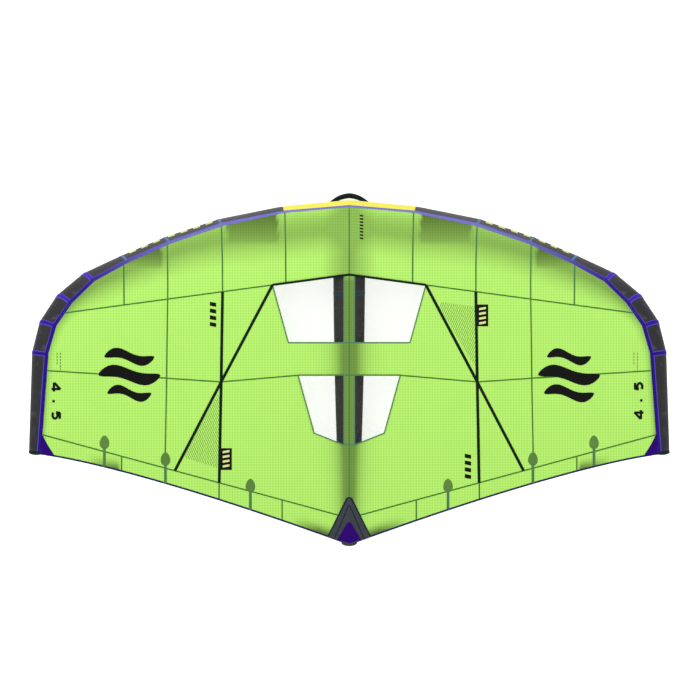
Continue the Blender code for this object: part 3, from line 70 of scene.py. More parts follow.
logging.basicConfig(level=logging.INFO, format="%(levelname)s %(message)s")
log = logging.getLogger("wing")

UP = np.array((0.0, 0.0, 1.0))
RIGHT_WAY = np.array((1.0, 0.0, 0.0))
MIRROR = np.array((-1.0, 1.0, 1.0))
MM_PER_M = 1000
NOISE_SPAN = (0.3, 0.7)
METRES_PER_PX = 0.00504
Socket = bpy.types.NodeSocket
Adder = Callable[..., Socket]
Mixable = Union[float, tuple, Socket]
Array = np.ndarray
Length = Union[float, Array]


class Side(Enum):
    """The two halves of the wing."""

    RIGHT = 1
    LEFT = -1

    @property
    def mirror(self) -> Array:
        """Factors that take a right-hand point to this side."""
        return np.array((float(self.value), 1.0, 1.0))

    @property
    def word(self) -> str:
        """The side's word in node names."""
        return self.name.lower()


def linear(hex_colour: str) -> tuple:
    """Linear RGBA of an sRGB hex colour.

    Args:
        hex_colour: six digits after a hash.

    Returns:
        Four floats, the last of them 1. Each channel c is c / 12.92 below 0.04045, and otherwise
        ((c + 0.055) / 1.055) to the power 2.4.
    """
    channels = [int(hex_colour[i : i + 2], 16) / 255 for i in (1, 3, 5)]
    return (*[c / 12.92 if c <= 0.04045 else ((c + 0.055) / 1.055) ** 2.4 for c in channels], 1.0)


def feed(node: bpy.types.Node, inputs: Union[dict, Sequence]) -> None:
    """Give a node's inputs their values or links, by name or number, or in order."""
    for name, value in inputs.items() if isinstance(inputs, dict) else enumerate(inputs):
        if isinstance(value, Socket):
            node.id_data.links.new(value, node.inputs[name])
        else:
            node.inputs[name].default_value = value


def add_node(tree: bpy.types.NodeTree, kind: str, inputs: Union[dict, Sequence] = (),
             output: Union[int, str] = 0, **settings) -> Optional[Socket]:
    """Add a node with its settings and its input values or links.

    Args:
        tree: the material's node tree.
        kind: the node's type name after "ShaderNode".
        inputs: a value or an output socket for each input, by name or number, or in order.
        output: name or number of the output that is wanted.
        **settings: properties of the node.

    Returns:
        That output, or None for a node without outputs.
    """
    node = tree.nodes.new(f"ShaderNode{kind}")
    for name, value in settings.items():
        setattr(node, name, value)
    feed(node, inputs)
    return node.outputs[output] if node.outputs else None


def mixed(add: Adder, share: Mixable, first: Mixable, second: Mixable, blend: str = "MIX") -> Socket:
    """Two colours mixed by a share."""
    return add("Mix", {0: share, 6: first, 7: second}, 2, data_type="RGBA", blend_type=blend)


def eased(add: Adder, value: Socket, *spans: float) -> Socket:
    """A value that goes from the third number to the fourth while the input goes from first to second."""
    return add("MapRange", (value, *spans), interpolation_type="SMOOTHSTEP")


def worked(add: Adder, operation: str, *values: Mixable) -> Socket:
    """The result of one operation on numbers."""
    return add("Math", values, operation=operation)


def new_object(name: str, data: bpy.types.ID) -> bpy.types.Object:
    """A new object in the scene, with its data."""
    obj = bpy.data.objects.new(name, data)
    bpy.context.scene.collection.objects.link(obj)
    return obj


class Space(Enum):
    """What a pattern follows."""

    CLOTH = "metres along and across the cloth, from the UV map"
    OBJECT = "the piece's own object coordinates"


@dataclass(frozen=True)
class Finish:
    """A plain finish: one colour with fine variation, and the base of every other finish."""

    name: str
    colour: str
    roughness: float = 0.5
    metallic: float = 0.0
    specular: float = 0.5
    grain_mm: float = 1.0
    grain_depth_mm: float = 0.05
    rough_spread: float = 0.08
    variation: float = 0.06
    mottle_mm: float = 160.0
    # the colour that painted shade takes the finish to, by a vertex value
    second: str = ""
    space: Space = Space.OBJECT

    def material(self) -> bpy.types.Material:
        """The finish's material, made once."""
        known = bpy.data.materials.get(self.name)
        if known is not None:
            return known
        material = bpy.data.materials.new(self.name)
        material.use_nodes = True
        shader = material.node_tree.nodes["Principled BSDF"]
        feed(shader, {"Roughness": self.roughness, "Metallic": self.metallic})
        if self.metallic == 0:
            feed(shader, {"Specular IOR Level": self.specular})
        self.dress(partial(add_node, material.node_tree), shader)
        return material

    def place(self, add: Adder) -> Socket:
        """The coordinates that the pattern reads, in metres."""
        if self.space is Space.CLOTH:
            return add("UVMap", uv_map="cloth")
        return add("TexCoord", output="Object")

    def ways(self, add: Adder) -> Sequence:
        """The first two of those coordinates: along the cloth and across it."""
        return add("SeparateXYZ", (self.place(add),)).node.outputs[:2]

    def spots(self, add: Adder, size_mm: float, detail: float = 2.0) -> Socket:
        """Soft spots from 0 to 1, about this many millimetres wide."""
        return add("TexNoise", {"Vector": self.place(add), "Scale": MM_PER_M / size_mm, "Detail": detail})

    def shaded(self, add: Adder, colour: Mixable) -> Socket:
        """The colour with slow, broad unevenness, as handling and dye lots leave it."""
        low, high = 1 - self.variation, 1 + self.variation
        light = eased(add, self.spots(add, self.mottle_mm, 3.0), *NOISE_SPAN, low, high)
        grey = add("CombineXYZ", (light, light, light))
        return mixed(add, 1.0, colour, grey, "MULTIPLY")

    def painted_shade_colour(self, add: Adder) -> Socket:
        """The first colour, going to the second by a vertex value, as painted shade."""
        tone = add("Attribute", output="Fac", attribute_name="tone")
        return mixed(add, tone, linear(self.colour), linear(self.second or self.colour))

    def vary(self, add: Adder, shader: bpy.types.Node, spots: Socket) -> None:
        """Make the roughness follow spots, by its spread either way."""
        low, high = self.roughness - self.rough_spread, self.roughness + self.rough_spread
        feed(shader, {"Roughness": eased(add, spots, *NOISE_SPAN, low, high)})

    def emboss(self, add: Adder, shader: bpy.types.Node, height: Socket, depth_mm: float,
               strength: float = 0.6) -> None:
        """Link a height from 0 to 1 to the shader as bump of a depth in millimetres."""
        inputs = {"Height": height, "Distance": depth_mm / MM_PER_M, "Strength": strength}
        feed(shader, {"Normal": add("Bump", inputs)})

    def dress(self, add: Adder, shader: bpy.types.Node) -> None:
        """Moulded or cast surface: fine grain in the bump and roughness, broad variation in the colour."""
        feed(shader, {"Base Color": self.shaded(add, linear(self.colour))})
        grain = self.spots(add, self.grain_mm)
        self.vary(add, shader, grain)
        self.emboss(add, shader, grain, self.grain_depth_mm)


@dataclass(frozen=True)
class Ripstop(Finish):
    """Ripstop sailcloth: a thin coated weave with a thicker thread every few millimetres.

    The real grid is about 5 mm; it is drawn at 8 mm, as coarse as it needs to show. The vertex value
    "shade" mixes painted shade into the cloth's colour: darker where the tubes lie under the thin cloth and
    hold back light from below, and in a few painted shade boxes.
    """

    grid_mm: float = 8.0
    thread_mm: float = 3.0
    thread_colour: str = "#9ad855"
    thread_blur: float = 0.06
    thread_height: float = 0.25
    crumple_mm: float = 28.0
    crumple_depth_mm: float = 0.8
    shade_tint: str = "#777a67"
    rough_spread: float = 0.06
    space: Space = Space.CLOTH

    def dress(self, add: Adder, shader: bpy.types.Node) -> None:
        """Grid lines across the cloth both ways, painted shade from a vertex value, faint crumple in the
        bump.
        """
        edge, blur = 0.5 - self.thread_mm / self.grid_mm / 2, self.thread_blur
        lines = []
        for way in self.ways(add):
            fold = worked(add, "PINGPONG", worked(add, "MULTIPLY", way, MM_PER_M / self.grid_mm), 0.5)
            lines.append(eased(add, fold, edge - blur, edge + blur, 0.0, 1.0))
        grid = worked(add, "MAXIMUM", *lines)
        cloth = mixed(add, grid, self.shaded(add, linear(self.colour)), linear(self.thread_colour))
        # painted shade: a vertex value tints the cloth darker where the tubes below would hold back light
        shade = add("Attribute", output="Fac", attribute_name="shade")
        tint = mixed(add, shade, linear("#ffffff"), linear(self.shade_tint))
        feed(shader, {"Base Color": mixed(add, 1.0, cloth, tint, "MULTIPLY")})
        crumple = self.spots(add, self.crumple_mm, 4.0)
        both = worked(add, "ADD", worked(add, "MULTIPLY", grid, self.thread_height), crumple)
        self.emboss(add, shader, both, self.crumple_depth_mm, 0.35)
        self.vary(add, shader, crumple)


@dataclass(frozen=True)
class Weave(Finish):
    """Plain woven polyester: threads over and under each other, drawn at a few millimetres to show.

    A vertex value of painted shade takes the colour from the first to the second.
    """

    roughness: float = 0.6
    specular: float = 0.2
    thread_mm: float = 3.0
    thread_share: float = 0.3
    light: str = "#45444a"
    scuff_mm: float = 60.0
    scuff_span: tuple = (0.52, 0.75)
    depth_mm: float = 0.12
    space: Space = Space.CLOTH

    def dress(self, add: Adder, shader: bpy.types.Node) -> None:
        """Sine threads both ways, multiplied into a plain weave, with scuffs where it is handled."""
        waves = []
        for way in self.ways(add):
            turns = worked(add, "MULTIPLY", way, MM_PER_M * math.pi / self.thread_mm)
            waves.append(worked(add, "SINE", turns))
        weave = eased(add, worked(add, "MULTIPLY", *waves), -1.0, 1.0, 0.0, 1.0)
        scuff = eased(add, self.spots(add, self.scuff_mm, 5.0), *self.scuff_span, 0.0, 0.5)
        light = linear(self.light)
        threads = mixed(add, worked(add, "MULTIPLY", weave, self.thread_share), self.painted_shade_colour(add), light)
        feed(shader, {"Base Color": self.shaded(add, mixed(add, scuff, threads, light))})
        self.emboss(add, shader, weave, self.depth_mm, 0.5)


@dataclass(frozen=True)
class Stitched(Finish):
    """Sewn tape: a fine rib along it and a row of thread stitches near each edge.

    The UV map runs along the tape in metres, and across it from 0 to 1. A vertex value of painted shade takes
    the colour from the first to the second. The rim is how far the tape's edges take the thread's colour.
    """

    roughness: float = 0.6
    specular: float = 0.15
    thread: str = "#8f88d8"
    thread_share: float = 0.8
    stitch_mm: float = 5.0
    rib_mm: float = 1.6
    rib_share: float = 0.15
    row: float = 0.14
    row_span: tuple = (0.02, 0.05)
    gap_span: tuple = (0.12, 0.2)
    rim: float = 0.0
    rim_width: float = 0.2
    depth_mm: float = 0.3
    space: Space = Space.CLOTH

    def dress(self, add: Adder, shader: bpy.types.Node) -> None:
        """Ribs by a sine along the tape, lighter rims, and stitches where two bands meet a dash pattern."""
        along, across = self.ways(add)
        ribs = worked(add, "SINE", worked(add, "MULTIPLY", along, MM_PER_M * math.pi / self.rib_mm))
        fold = worked(add, "PINGPONG", across, 0.5)
        away = worked(add, "ABSOLUTE", worked(add, "SUBTRACT", fold, self.row))
        line = eased(add, away, *self.row_span, 1.0, 0.0)
        beat = worked(add, "PINGPONG", worked(add, "MULTIPLY", along, MM_PER_M / self.stitch_mm), 0.5)
        dash = eased(add, beat, *self.gap_span, 0.0, 1.0)
        stitch = worked(add, "MULTIPLY", line, dash)
        thread = linear(self.thread)
        rim = eased(add, fold, 0.0, self.rim_width, self.rim, 0.0)
        base = mixed(add, rim, self.painted_shade_colour(add), thread)
        colour = mixed(add, worked(add, "MULTIPLY", stitch, self.thread_share), base, thread)
        feed(shader, {"Base Color": self.shaded(add, colour)})
        ribs = worked(add, "MULTIPLY", ribs, self.rib_share)
        self.emboss(add, shader, worked(add, "ADD", ribs, stitch), self.depth_mm, 0.5)


@dataclass(frozen=True)
class Clear(Finish):
    """Clear polyurethane film: glossy, faintly milky or smoky, with soft scuffs from rolling up."""

    alpha: float = 0.12
    scuff_mm: float = 45.0
    scuff_depth_mm: float = 0.3
    scuff_span: tuple = (0.4, 0.7)
    scuff_rough: tuple = (0.2, 0.4)

    def dress(self, add: Adder, shader: bpy.types.Node) -> None:
        """See-through base with scuffs that only change its roughness and bump."""
        scuff = self.spots(add, self.scuff_mm, 6.0)
        rough = eased(add, scuff, *self.scuff_span, *self.scuff_rough)
        base = self.shaded(add, linear(self.colour))
        feed(shader, {"Alpha": self.alpha, "Base Color": base, "Roughness": rough})
        self.emboss(add, shader, scuff, self.scuff_depth_mm, 0.05)


# Canopy cloth: a bright grid of reinforcing threads under a satin coating, faintly crumpled, with painted
# shade where the tubes lie under it and in a few patches
RIPSTOP = Ripstop("ripstop_sailcloth_coated", "#cbff7e", 0.5, specular=0.2, variation=0.02)
# Tube cloth: a tight plain weave, matt, scuffed lighter where it rubs, with painted light that leaves it
# lighter in the middle of the wing and darker towards the tips
GREY_CLOTH = Weave("polyester_woven_dark_grey", "#4c4a52", 0.62, specular=0.25, variation=0.08,
                   light="#59575e", second="#121113")
# Strut cloth: the same weave in a darker dye
STRUT_CLOTH = Weave("polyester_woven_charcoal", "#363836", 0.62, specular=0.08, variation=0.05,
                    light="#3b3d3b", depth_mm=0.04)
# Middle panel: the weave in a clear lemon yellow, its threads a little paler
YELLOW_CLOTH = Weave("polyester_woven_yellow", "#f3e848", variation=0.03, light="#faf07c")
# Lime dashes: ink that has sunk into the weave, so the threads still show
LIME_PRINT = Weave("polyester_woven_lime_print", "#d6e082", light="#e6f0ae")
# Seam tape: a thin woven tape, its rows of stitches paler, and bluer where the cloth's painted shade lies
SEAM_TAPE = Stitched("seam_tape_sewn_dark_green", "#3c7026", second="#44785f", thread="#7fb04f")
# Window hem: the same tape folded over the film's edge, greyer, and bluer where the cloth's painted shade
# lies
HEM_TAPE = Stitched("window_hem_sewn_grey_green", "#4a7a48", second="#4a7a62", thread="#86b070")
# Trailing edge tape: navy ribbed tape folded round the edge and sewn through
EDGE_TAPE = Stitched("edge_tape_sewn_navy", "#15134c", 0.55, thread="#55539c")
# Load straps: coarse black webbing with a green cast and two rows of stitches
LOAD_STRAP = Stitched("load_strap_woven_black_green", "#02170b", thread="#17402a", specular=0.1)
# Edge binding of the end patch: the webbing in near-black navy
PATCH_BINDING = Stitched("patch_binding_woven_navy", "#0c1826", thread="#2b4458", specular=0.12)
# Joint webbing: ribbed violet webbing, with painted light that makes it pale in the middle of the wing and
# deep towards the tips
PURPLE_TAPE = Stitched("joint_webbing_sewn_violet", "#7671c6", 0.55, second="#250c7c", thread="#7468de",
                       specular=0.08, rim=0.3)
# Violet bands: tape over the outer seams, its sewn rims paler as a painted highlight, and painted shade that
# darkens them joint by joint towards the tips
PURPLE_BAND = Stitched("seam_band_sewn_violet", "#482cb4", 0.55, second="#280a80", thread="#7462e0",
                       specular=0.1, rim=0.5)
# Teal bands: a narrow low-contrast tape over the inner seams
TEAL_BAND = Stitched("seam_band_sewn_teal", "#50789e", 0.55, thread="#8fb0cc", specular=0.2)
# Strut bands: slate tape with pale stitches
STRUT_BAND = Stitched("strut_seam_band_sewn_slate", "#223842", thread="#6c93a4", specular=0.2, rim=0.35)
# Corner patches: dense violet cloth, several layers sewn flat
VIOLET_PATCH = Weave("corner_patch_woven_violet", "#2a006a", specular=0.06, light="#33047e")
# Strut end patch: slate cloth, its weave just visible
SLATE_PATCH = Weave("end_patch_woven_slate", "#34393f", light="#434950")
# Batten pockets: the canopy's cloth doubled, so darker and bluer
POCKET_CLOTH = Weave("batten_pocket_woven_green", "#447548", light="#588a58")
# Batten stops: a thick sewn tab of olive cloth
STOP_CLOTH = Weave("batten_stop_woven_olive", "#547c34", light="#668e42")
# Black prints: flat screen ink, slightly uneven, that fills the weave
PRINT = Finish("screen_print_black_ink", "#080907", 0.6, specular=0.1, grain_mm=6, variation=0.1)
# Fine marks: the same ink in hairlines that let the cloth through
FINE_PRINT = Finish("screen_print_fine_green_ink", "#3d5f2a", 0.6, specular=0.1, grain_mm=6, variation=0.1)
# Windows: clear film, faintly smoky, with soft scuffs from rolling up
FILM = Clear("polyurethane_film_clear", "#121517", 0.12, specular=0.08, alpha=0.02)
# Bladders: milky film, seen only where a cover is taken off
BLADDER = Clear("bladder_film_milky", "#dfe5ea", 0.3, alpha=0.6)
# Nose handle: blue-black webbing sewn over padding, with stitches along both edges
WEBBING = Stitched("nylon_webbing_black_blue", "#0a1c24", 0.65, thread="#284650", specular=0.12)
# Tube end caps: the same webbing cloth, darker
END_CLOTH = Weave("end_cap_woven_black", "#0c1216", 0.65, specular=0.12, light="#20404a")
# Grips: closed-cell foam, fine pores and no shine
FOAM = Finish("eva_foam_black", "#1b1c1e", 0.85, specular=0.3, grain_mm=1.2, grain_depth_mm=0.3,
              variation=0.15)
# Brackets, cap and clip: moulded nylon with a fine spark-eroded grain
NYLON = Finish("nylon_moulded_black", "#1a1b1d", 0.45, grain_mm=0.8, grain_depth_mm=0.04, variation=0.08)
# Valve, hose and their flanges: softer moulded polyurethane, greyer and duller
RUBBER = Finish("tpu_moulded_dark_grey", "#26282b", 0.55, grain_mm=1.5, grain_depth_mm=0.03,
                variation=0.08)
# Zip slider and pull: cast metal, tumbled to a satin
ZINC = Finish("zinc_alloy_cast_grey", "#8d8f93", 0.35, metallic=1.0, grain_mm=0.5, grain_depth_mm=0.02)
# Zip tape: matt knitted tape
ZIP_TAPE = Finish("zip_tape_polyester_black", "#1e2023", 0.75, specular=0.2, grain_mm=1.4,
                  grain_depth_mm=0.1)
# Zip coil: smooth nylon that catches the light on each turn
ZIP_COIL = Finish("zip_coil_nylon_black", "#303238", 0.3, grain_mm=0.6, variation=0.05)


@dataclass
class Skin:
    """Points, faces and face-corner UVs of one or more surfaces, before they are a mesh."""

    points: Array
    faces: list
    uvs: Array
    values: dict = field(default_factory=dict)

    @classmethod
    def grid(cls, points: Array, uv: Array, wrap: bool = False, caps: bool = False,
             keep: Optional[Array] = None, values: Optional[dict] = None) -> "Skin":
        """A surface of two parameters on a grid.

        The quad of row i and column j joins (i, j), (i, j + 1), (i + 1, j + 1) and (i + 1, j). Faces are
        turned so that a wrapped grid points away from the middle of its rows, and an open one points up.

        Args:
            points: (rows, columns, 3) positions.
            uv: (rows, columns, 2) places on the cloth, with one more column where the grid wraps.
            wrap: whether the last column joins the first.
            caps: whether the first and last rows are filled, where the grid wraps.
            keep: (rows - 1, quads across) which quads are made; all of them if None.
            values: (rows, columns) arrays for vertex attributes.

        Returns:
            The surface.
        """
        rows, columns = points.shape[:2]
        i, j = np.meshgrid(np.arange(rows - 1), np.arange(columns if wrap else columns - 1), indexing="ij")
        if keep is not None:
            i, j = i[keep], j[keep]
        i, j = i.ravel(), j.ravel()
        after = (j + 1) % columns
        quads = [i * columns + j, i * columns + after, (i + 1) * columns + after, (i + 1) * columns + j]
        quads = np.stack(quads, axis=1)
        corners = np.stack([uv[i, j], uv[i, j + 1], uv[i + 1, j + 1], uv[i + 1, j]], axis=1)
        flat = points.reshape(-1, 3)
        a, b, c, d = (flat[quads[:, k]] for k in range(4))
        normals = np.cross(c - a, d - b)
        if wrap:
            middles = points.mean(axis=1)[i]
            inward = np.sum(normals * ((a + c) / 2 - middles)) < 0
        else:
            inward = normals[:, 2].sum() < 0
        if inward:
            quads, corners = quads[:, ::-1], corners[:, ::-1]
        faces = quads.tolist()
        corner_list = [corners.reshape(-1, 2)]
        if wrap and caps:
            for row, turn in ((0, 1), (rows - 1, -1)):
                ring = np.arange(columns)[:: -turn if inward else turn]
                faces.append((row * columns + ring).tolist())
                corner_list.append(uv[row, ring])
        extra = {name: np.asarray(v, float).reshape(-1) for name, v in (values or {}).items()}
        return cls(flat.copy(), faces, np.concatenate(corner_list), extra)

    @classmethod
    def joined(cls, skins: Sequence["Skin"]) -> "Skin":
        """Several surfaces as one."""
        faces: list = []
        start = 0
        for skin in skins:
            faces += [[n + start for n in face] for face in skin.faces]
            start += len(skin.points)
        names = {name for skin in skins for name in skin.values}
        values = {n: np.concatenate([s.values.get(n, np.zeros(len(s.points))) for s in skins]) for n in names}
        points, uvs = (np.concatenate([getattr(s, kind) for s in skins]) for kind in ("points", "uvs"))
        return cls(points, faces, uvs, values)

    def trimmed(self) -> "Skin":
        """The surface without points that no face uses."""
        used = np.unique(np.concatenate([np.asarray(f) for f in self.faces]))
        number = np.full(len(self.points), -1)
        number[used] = np.arange(len(used))
        faces = [number[np.asarray(f)].tolist() for f in self.faces]
        return Skin(self.points[used], faces, self.uvs, {k: v[used] for k, v in self.values.items()})

    def bare(self, name: str) -> bpy.types.Object:
        """The surface as an object without a finish."""
        mesh = bpy.data.meshes.new(name)
        mesh.from_pydata(self.points.tolist(), [], self.faces)
        return new_object(name, mesh)

    def piece(self, name: str, finish: Finish, slot: str, replaces: Sequence[str] = (),
              body: str = "wing") -> bpy.types.Object:
        """The surface as an object that rides on a CAD body.

        Args:
            name: the piece's name.
            finish: its finish.
            slot: the record's material slot; not used.
            replaces: CAD nodes that it stands for.
            body: the CAD body that carries it.

        Returns:
            The object.
        """
        obj = self.bare(name)
        mesh = obj.data
        layer = mesh.uv_layers.new(name="cloth")
        layer.data.foreach_set("uv", self.uvs.astype(np.float32).ravel())
        for key, value in self.values.items():
            attribute = mesh.attributes.new(key, "FLOAT", "POINT")
            attribute.data.foreach_set("value", value.astype(np.float32))
        mesh.shade_smooth()
        mesh.set_sharp_from_angle(angle=math.radians(50))
        mesh.materials.append(finish.material())
        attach(obj, body)
        if replaces:
            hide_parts(*replaces)
        log.info("%s: %d points", name, len(self.points))
        return obj


def unit(vectors: Array) -> Array:
    """Vectors divided by their lengths."""
    return vectors / np.linalg.norm(vectors, axis=-1, keepdims=True)


def round_angles(sides: int) -> Array:
    """Even angles round a full turn."""
    return np.linspace(0, 2 * math.pi, sides, endpoint=False)


def run_along(path: Array) -> Array:
    """Distance along a path at each of its points."""
    return np.concatenate([[0.0], np.cumsum(np.linalg.norm(np.diff(path, axis=0), axis=1))])


def grid_of(rows: Array, columns: Array) -> Array:
    """Every pair of a row's value and a column's value."""
    return np.stack(np.meshgrid(rows, columns, indexing="ij"), axis=2)


def on(curve: Callable, x: float) -> tuple:
    """The plan point of a curve at a span position."""
    return (x, float(curve(x)))


def mitres(line: Array) -> tuple:
    """Directions across a plan path at its points, and the normal of the edge after each."""
    way = unit(np.diff(line, axis=0))
    normals = np.stack([-way[:, 1], way[:, 0]], axis=1)
    after = np.vstack([normals, normals[-1:]])
    return unit(np.vstack([normals[:1], normals]) + after), after


def resample(path: Array, step: float) -> Array:
    """Points along a polyline, its corners kept, no further apart than a step."""
    pieces = []
    for start, end in zip(path[:-1], path[1:]):
        count = max(1, math.ceil(float(np.linalg.norm(end - start)) / step))
        pieces.append(start + (end - start) * (np.arange(count) / count)[:, None])
    return np.concatenate([*pieces, path[-1:]])


@dataclass
class Plan:
    """The wing's overall plan, as its CAD source has it."""

    half_span: float = 1.615
    root_chord: float = 1.746
    front_y: float = 0.8565
    aft_y: float = -0.8895
    gap: float = 0.0003
    sheet: float = 0.002


@dataclass
class TubeShape:
    """The leading edge tube: straight round panels between mitred joints, tapering to the tips."""

    plan: Plan
    span_shares: tuple = (0.0, 0.2086, 0.4081, 0.5757, 0.7117, 0.8293, 0.9121, 0.9662, 0.99, 1.0)
    chord_shares: tuple = (0.0, 0.0179, 0.0549, 0.1067, 0.1605, 0.2111, 0.2747, 0.3505, 0.4384, 0.7287)
    rise_shares: tuple = (0.0, 0.0, 0.114, 0.261, 0.432, 0.625, 0.795, 0.932, 1.0, 0.966)
    seam_degrees: tuple = (50.8, 49.8, 53.5, 58.6, 66.0, 83.0, 103.0, 114.0, 122.0, 130.0)
    root_radius: float = 0.095
    tip_radius: float = 0.036
    taper_power: float = 1.3
    tip_rise: float = 0.44
    fit: float = 0.992
    facets: int = 16
    middle_fade: float = 0.04

    def __post_init__(self) -> None:
        """Work out each joint's axis point, directions, radius and mitre, as the CAD source does."""
        x = np.array(self.span_shares) * self.plan.half_span
        y = self.plan.front_y - np.array(self.chord_shares) * self.plan.root_chord
        steps = np.hypot(np.diff(x), np.diff(y))
        share = np.concatenate([[0.0], np.cumsum(steps)]) / steps.sum()
        self.radius = self.root_radius + (self.tip_radius - self.root_radius) * share**self.taper_power
        rough = np.column_stack([x, y, self.radius + np.array(self.rise_shares) * self.tip_rise])
        directions = unit(np.diff(rough, axis=0))
        before = np.vstack([directions[0] * MIRROR * -1, directions])
        after = np.vstack([directions, directions[-1]])
        self.along = unit(before + after)
        self.mitre = 1 / np.sum(self.along * after, axis=1)
        self.outward = unit(np.cross(UP, self.along))
        self.up = np.cross(self.along, self.outward)
        self.axis = rough - (self.radius * self.mitre)[:, None] * self.outward
        self.seam_angle = np.radians(self.seam_degrees)
        self.seam = self.joint(np.arange(len(x)), self.seam_angle, self.plan.gap + self.plan.sheet / 2)
        self.lengths = np.linalg.norm(np.diff(self.axis, axis=0), axis=1)

    @property
    def facet_fit(self) -> float:
        """Share of the radius at the middle of one of the CAD's flat facets."""
        return math.cos(math.pi / self.facets)

    def facet_angle(self, facet: int) -> float:
        """Angle of the middle of a facet, counted from straight down towards the rear."""
        return -math.pi / 2 - (facet + 0.5) * 2 * math.pi / self.facets

    def joint(self, number: Union[int, Array], angle: Array, offset: Length) -> Array:
        """Points round joints, at angles above the outward direction and an offset from the surface."""
        reach = self.radius[number] + offset
        across = (reach * np.cos(angle) * self.mitre[number])[..., None] * self.outward[number]
        return self.axis[number] + across + (reach * np.sin(angle))[..., None] * self.up[number]

    def surface(self, panel: int, share: Length, angle: Array, offset: Length) -> Array:
        """Points on a panel: a straight line, for each angle, from the ring of one joint to the next."""
        depth = offset - (1 - self.fit) * self.radius[panel]
        first = self.joint(panel, angle, depth)
        second = self.joint(panel + 1, angle, depth)
        return first + np.asarray(share)[..., None] * (second - first)

    def middle(self, x: Array, angle: float, offset: Array, fit: float) -> tuple:
        """Points and outward directions on the middle panel by span position, either side of x = 0.

        The direction's x part fades to nothing towards the middle, so that it turns smoothly.

        Args:
            x: span positions.
            angle: angle above the forward direction.
            offset: distance from the surface.
            fit: share of the radius at which that surface lies.

        Returns:
            The points, and unit directions out of the tube.
        """
        share = (np.abs(x) / self.axis[1][0])[:, None]
        centre = self.axis[0] * (1 - share) + self.axis[1] * share
        radius = self.radius[0] * (1 - share) + self.radius[1] * share
        direction = unit(self.axis[1] - self.axis[0])
        normal = math.cos(angle) * unit(np.cross(UP, direction)) + math.sin(angle) * UP
        normal = unit(np.cross(direction, np.cross(normal, direction)))
        ones = np.ones((len(x), 2))
        turned = unit(normal * np.column_stack([np.clip(np.abs(x) / self.middle_fade, 0, 1), ones]))
        mirror = np.column_stack([np.sign(x) + (x == 0), ones])
        return (centre + (radius * fit + offset[:, None]) * turned) * mirror, turned * mirror


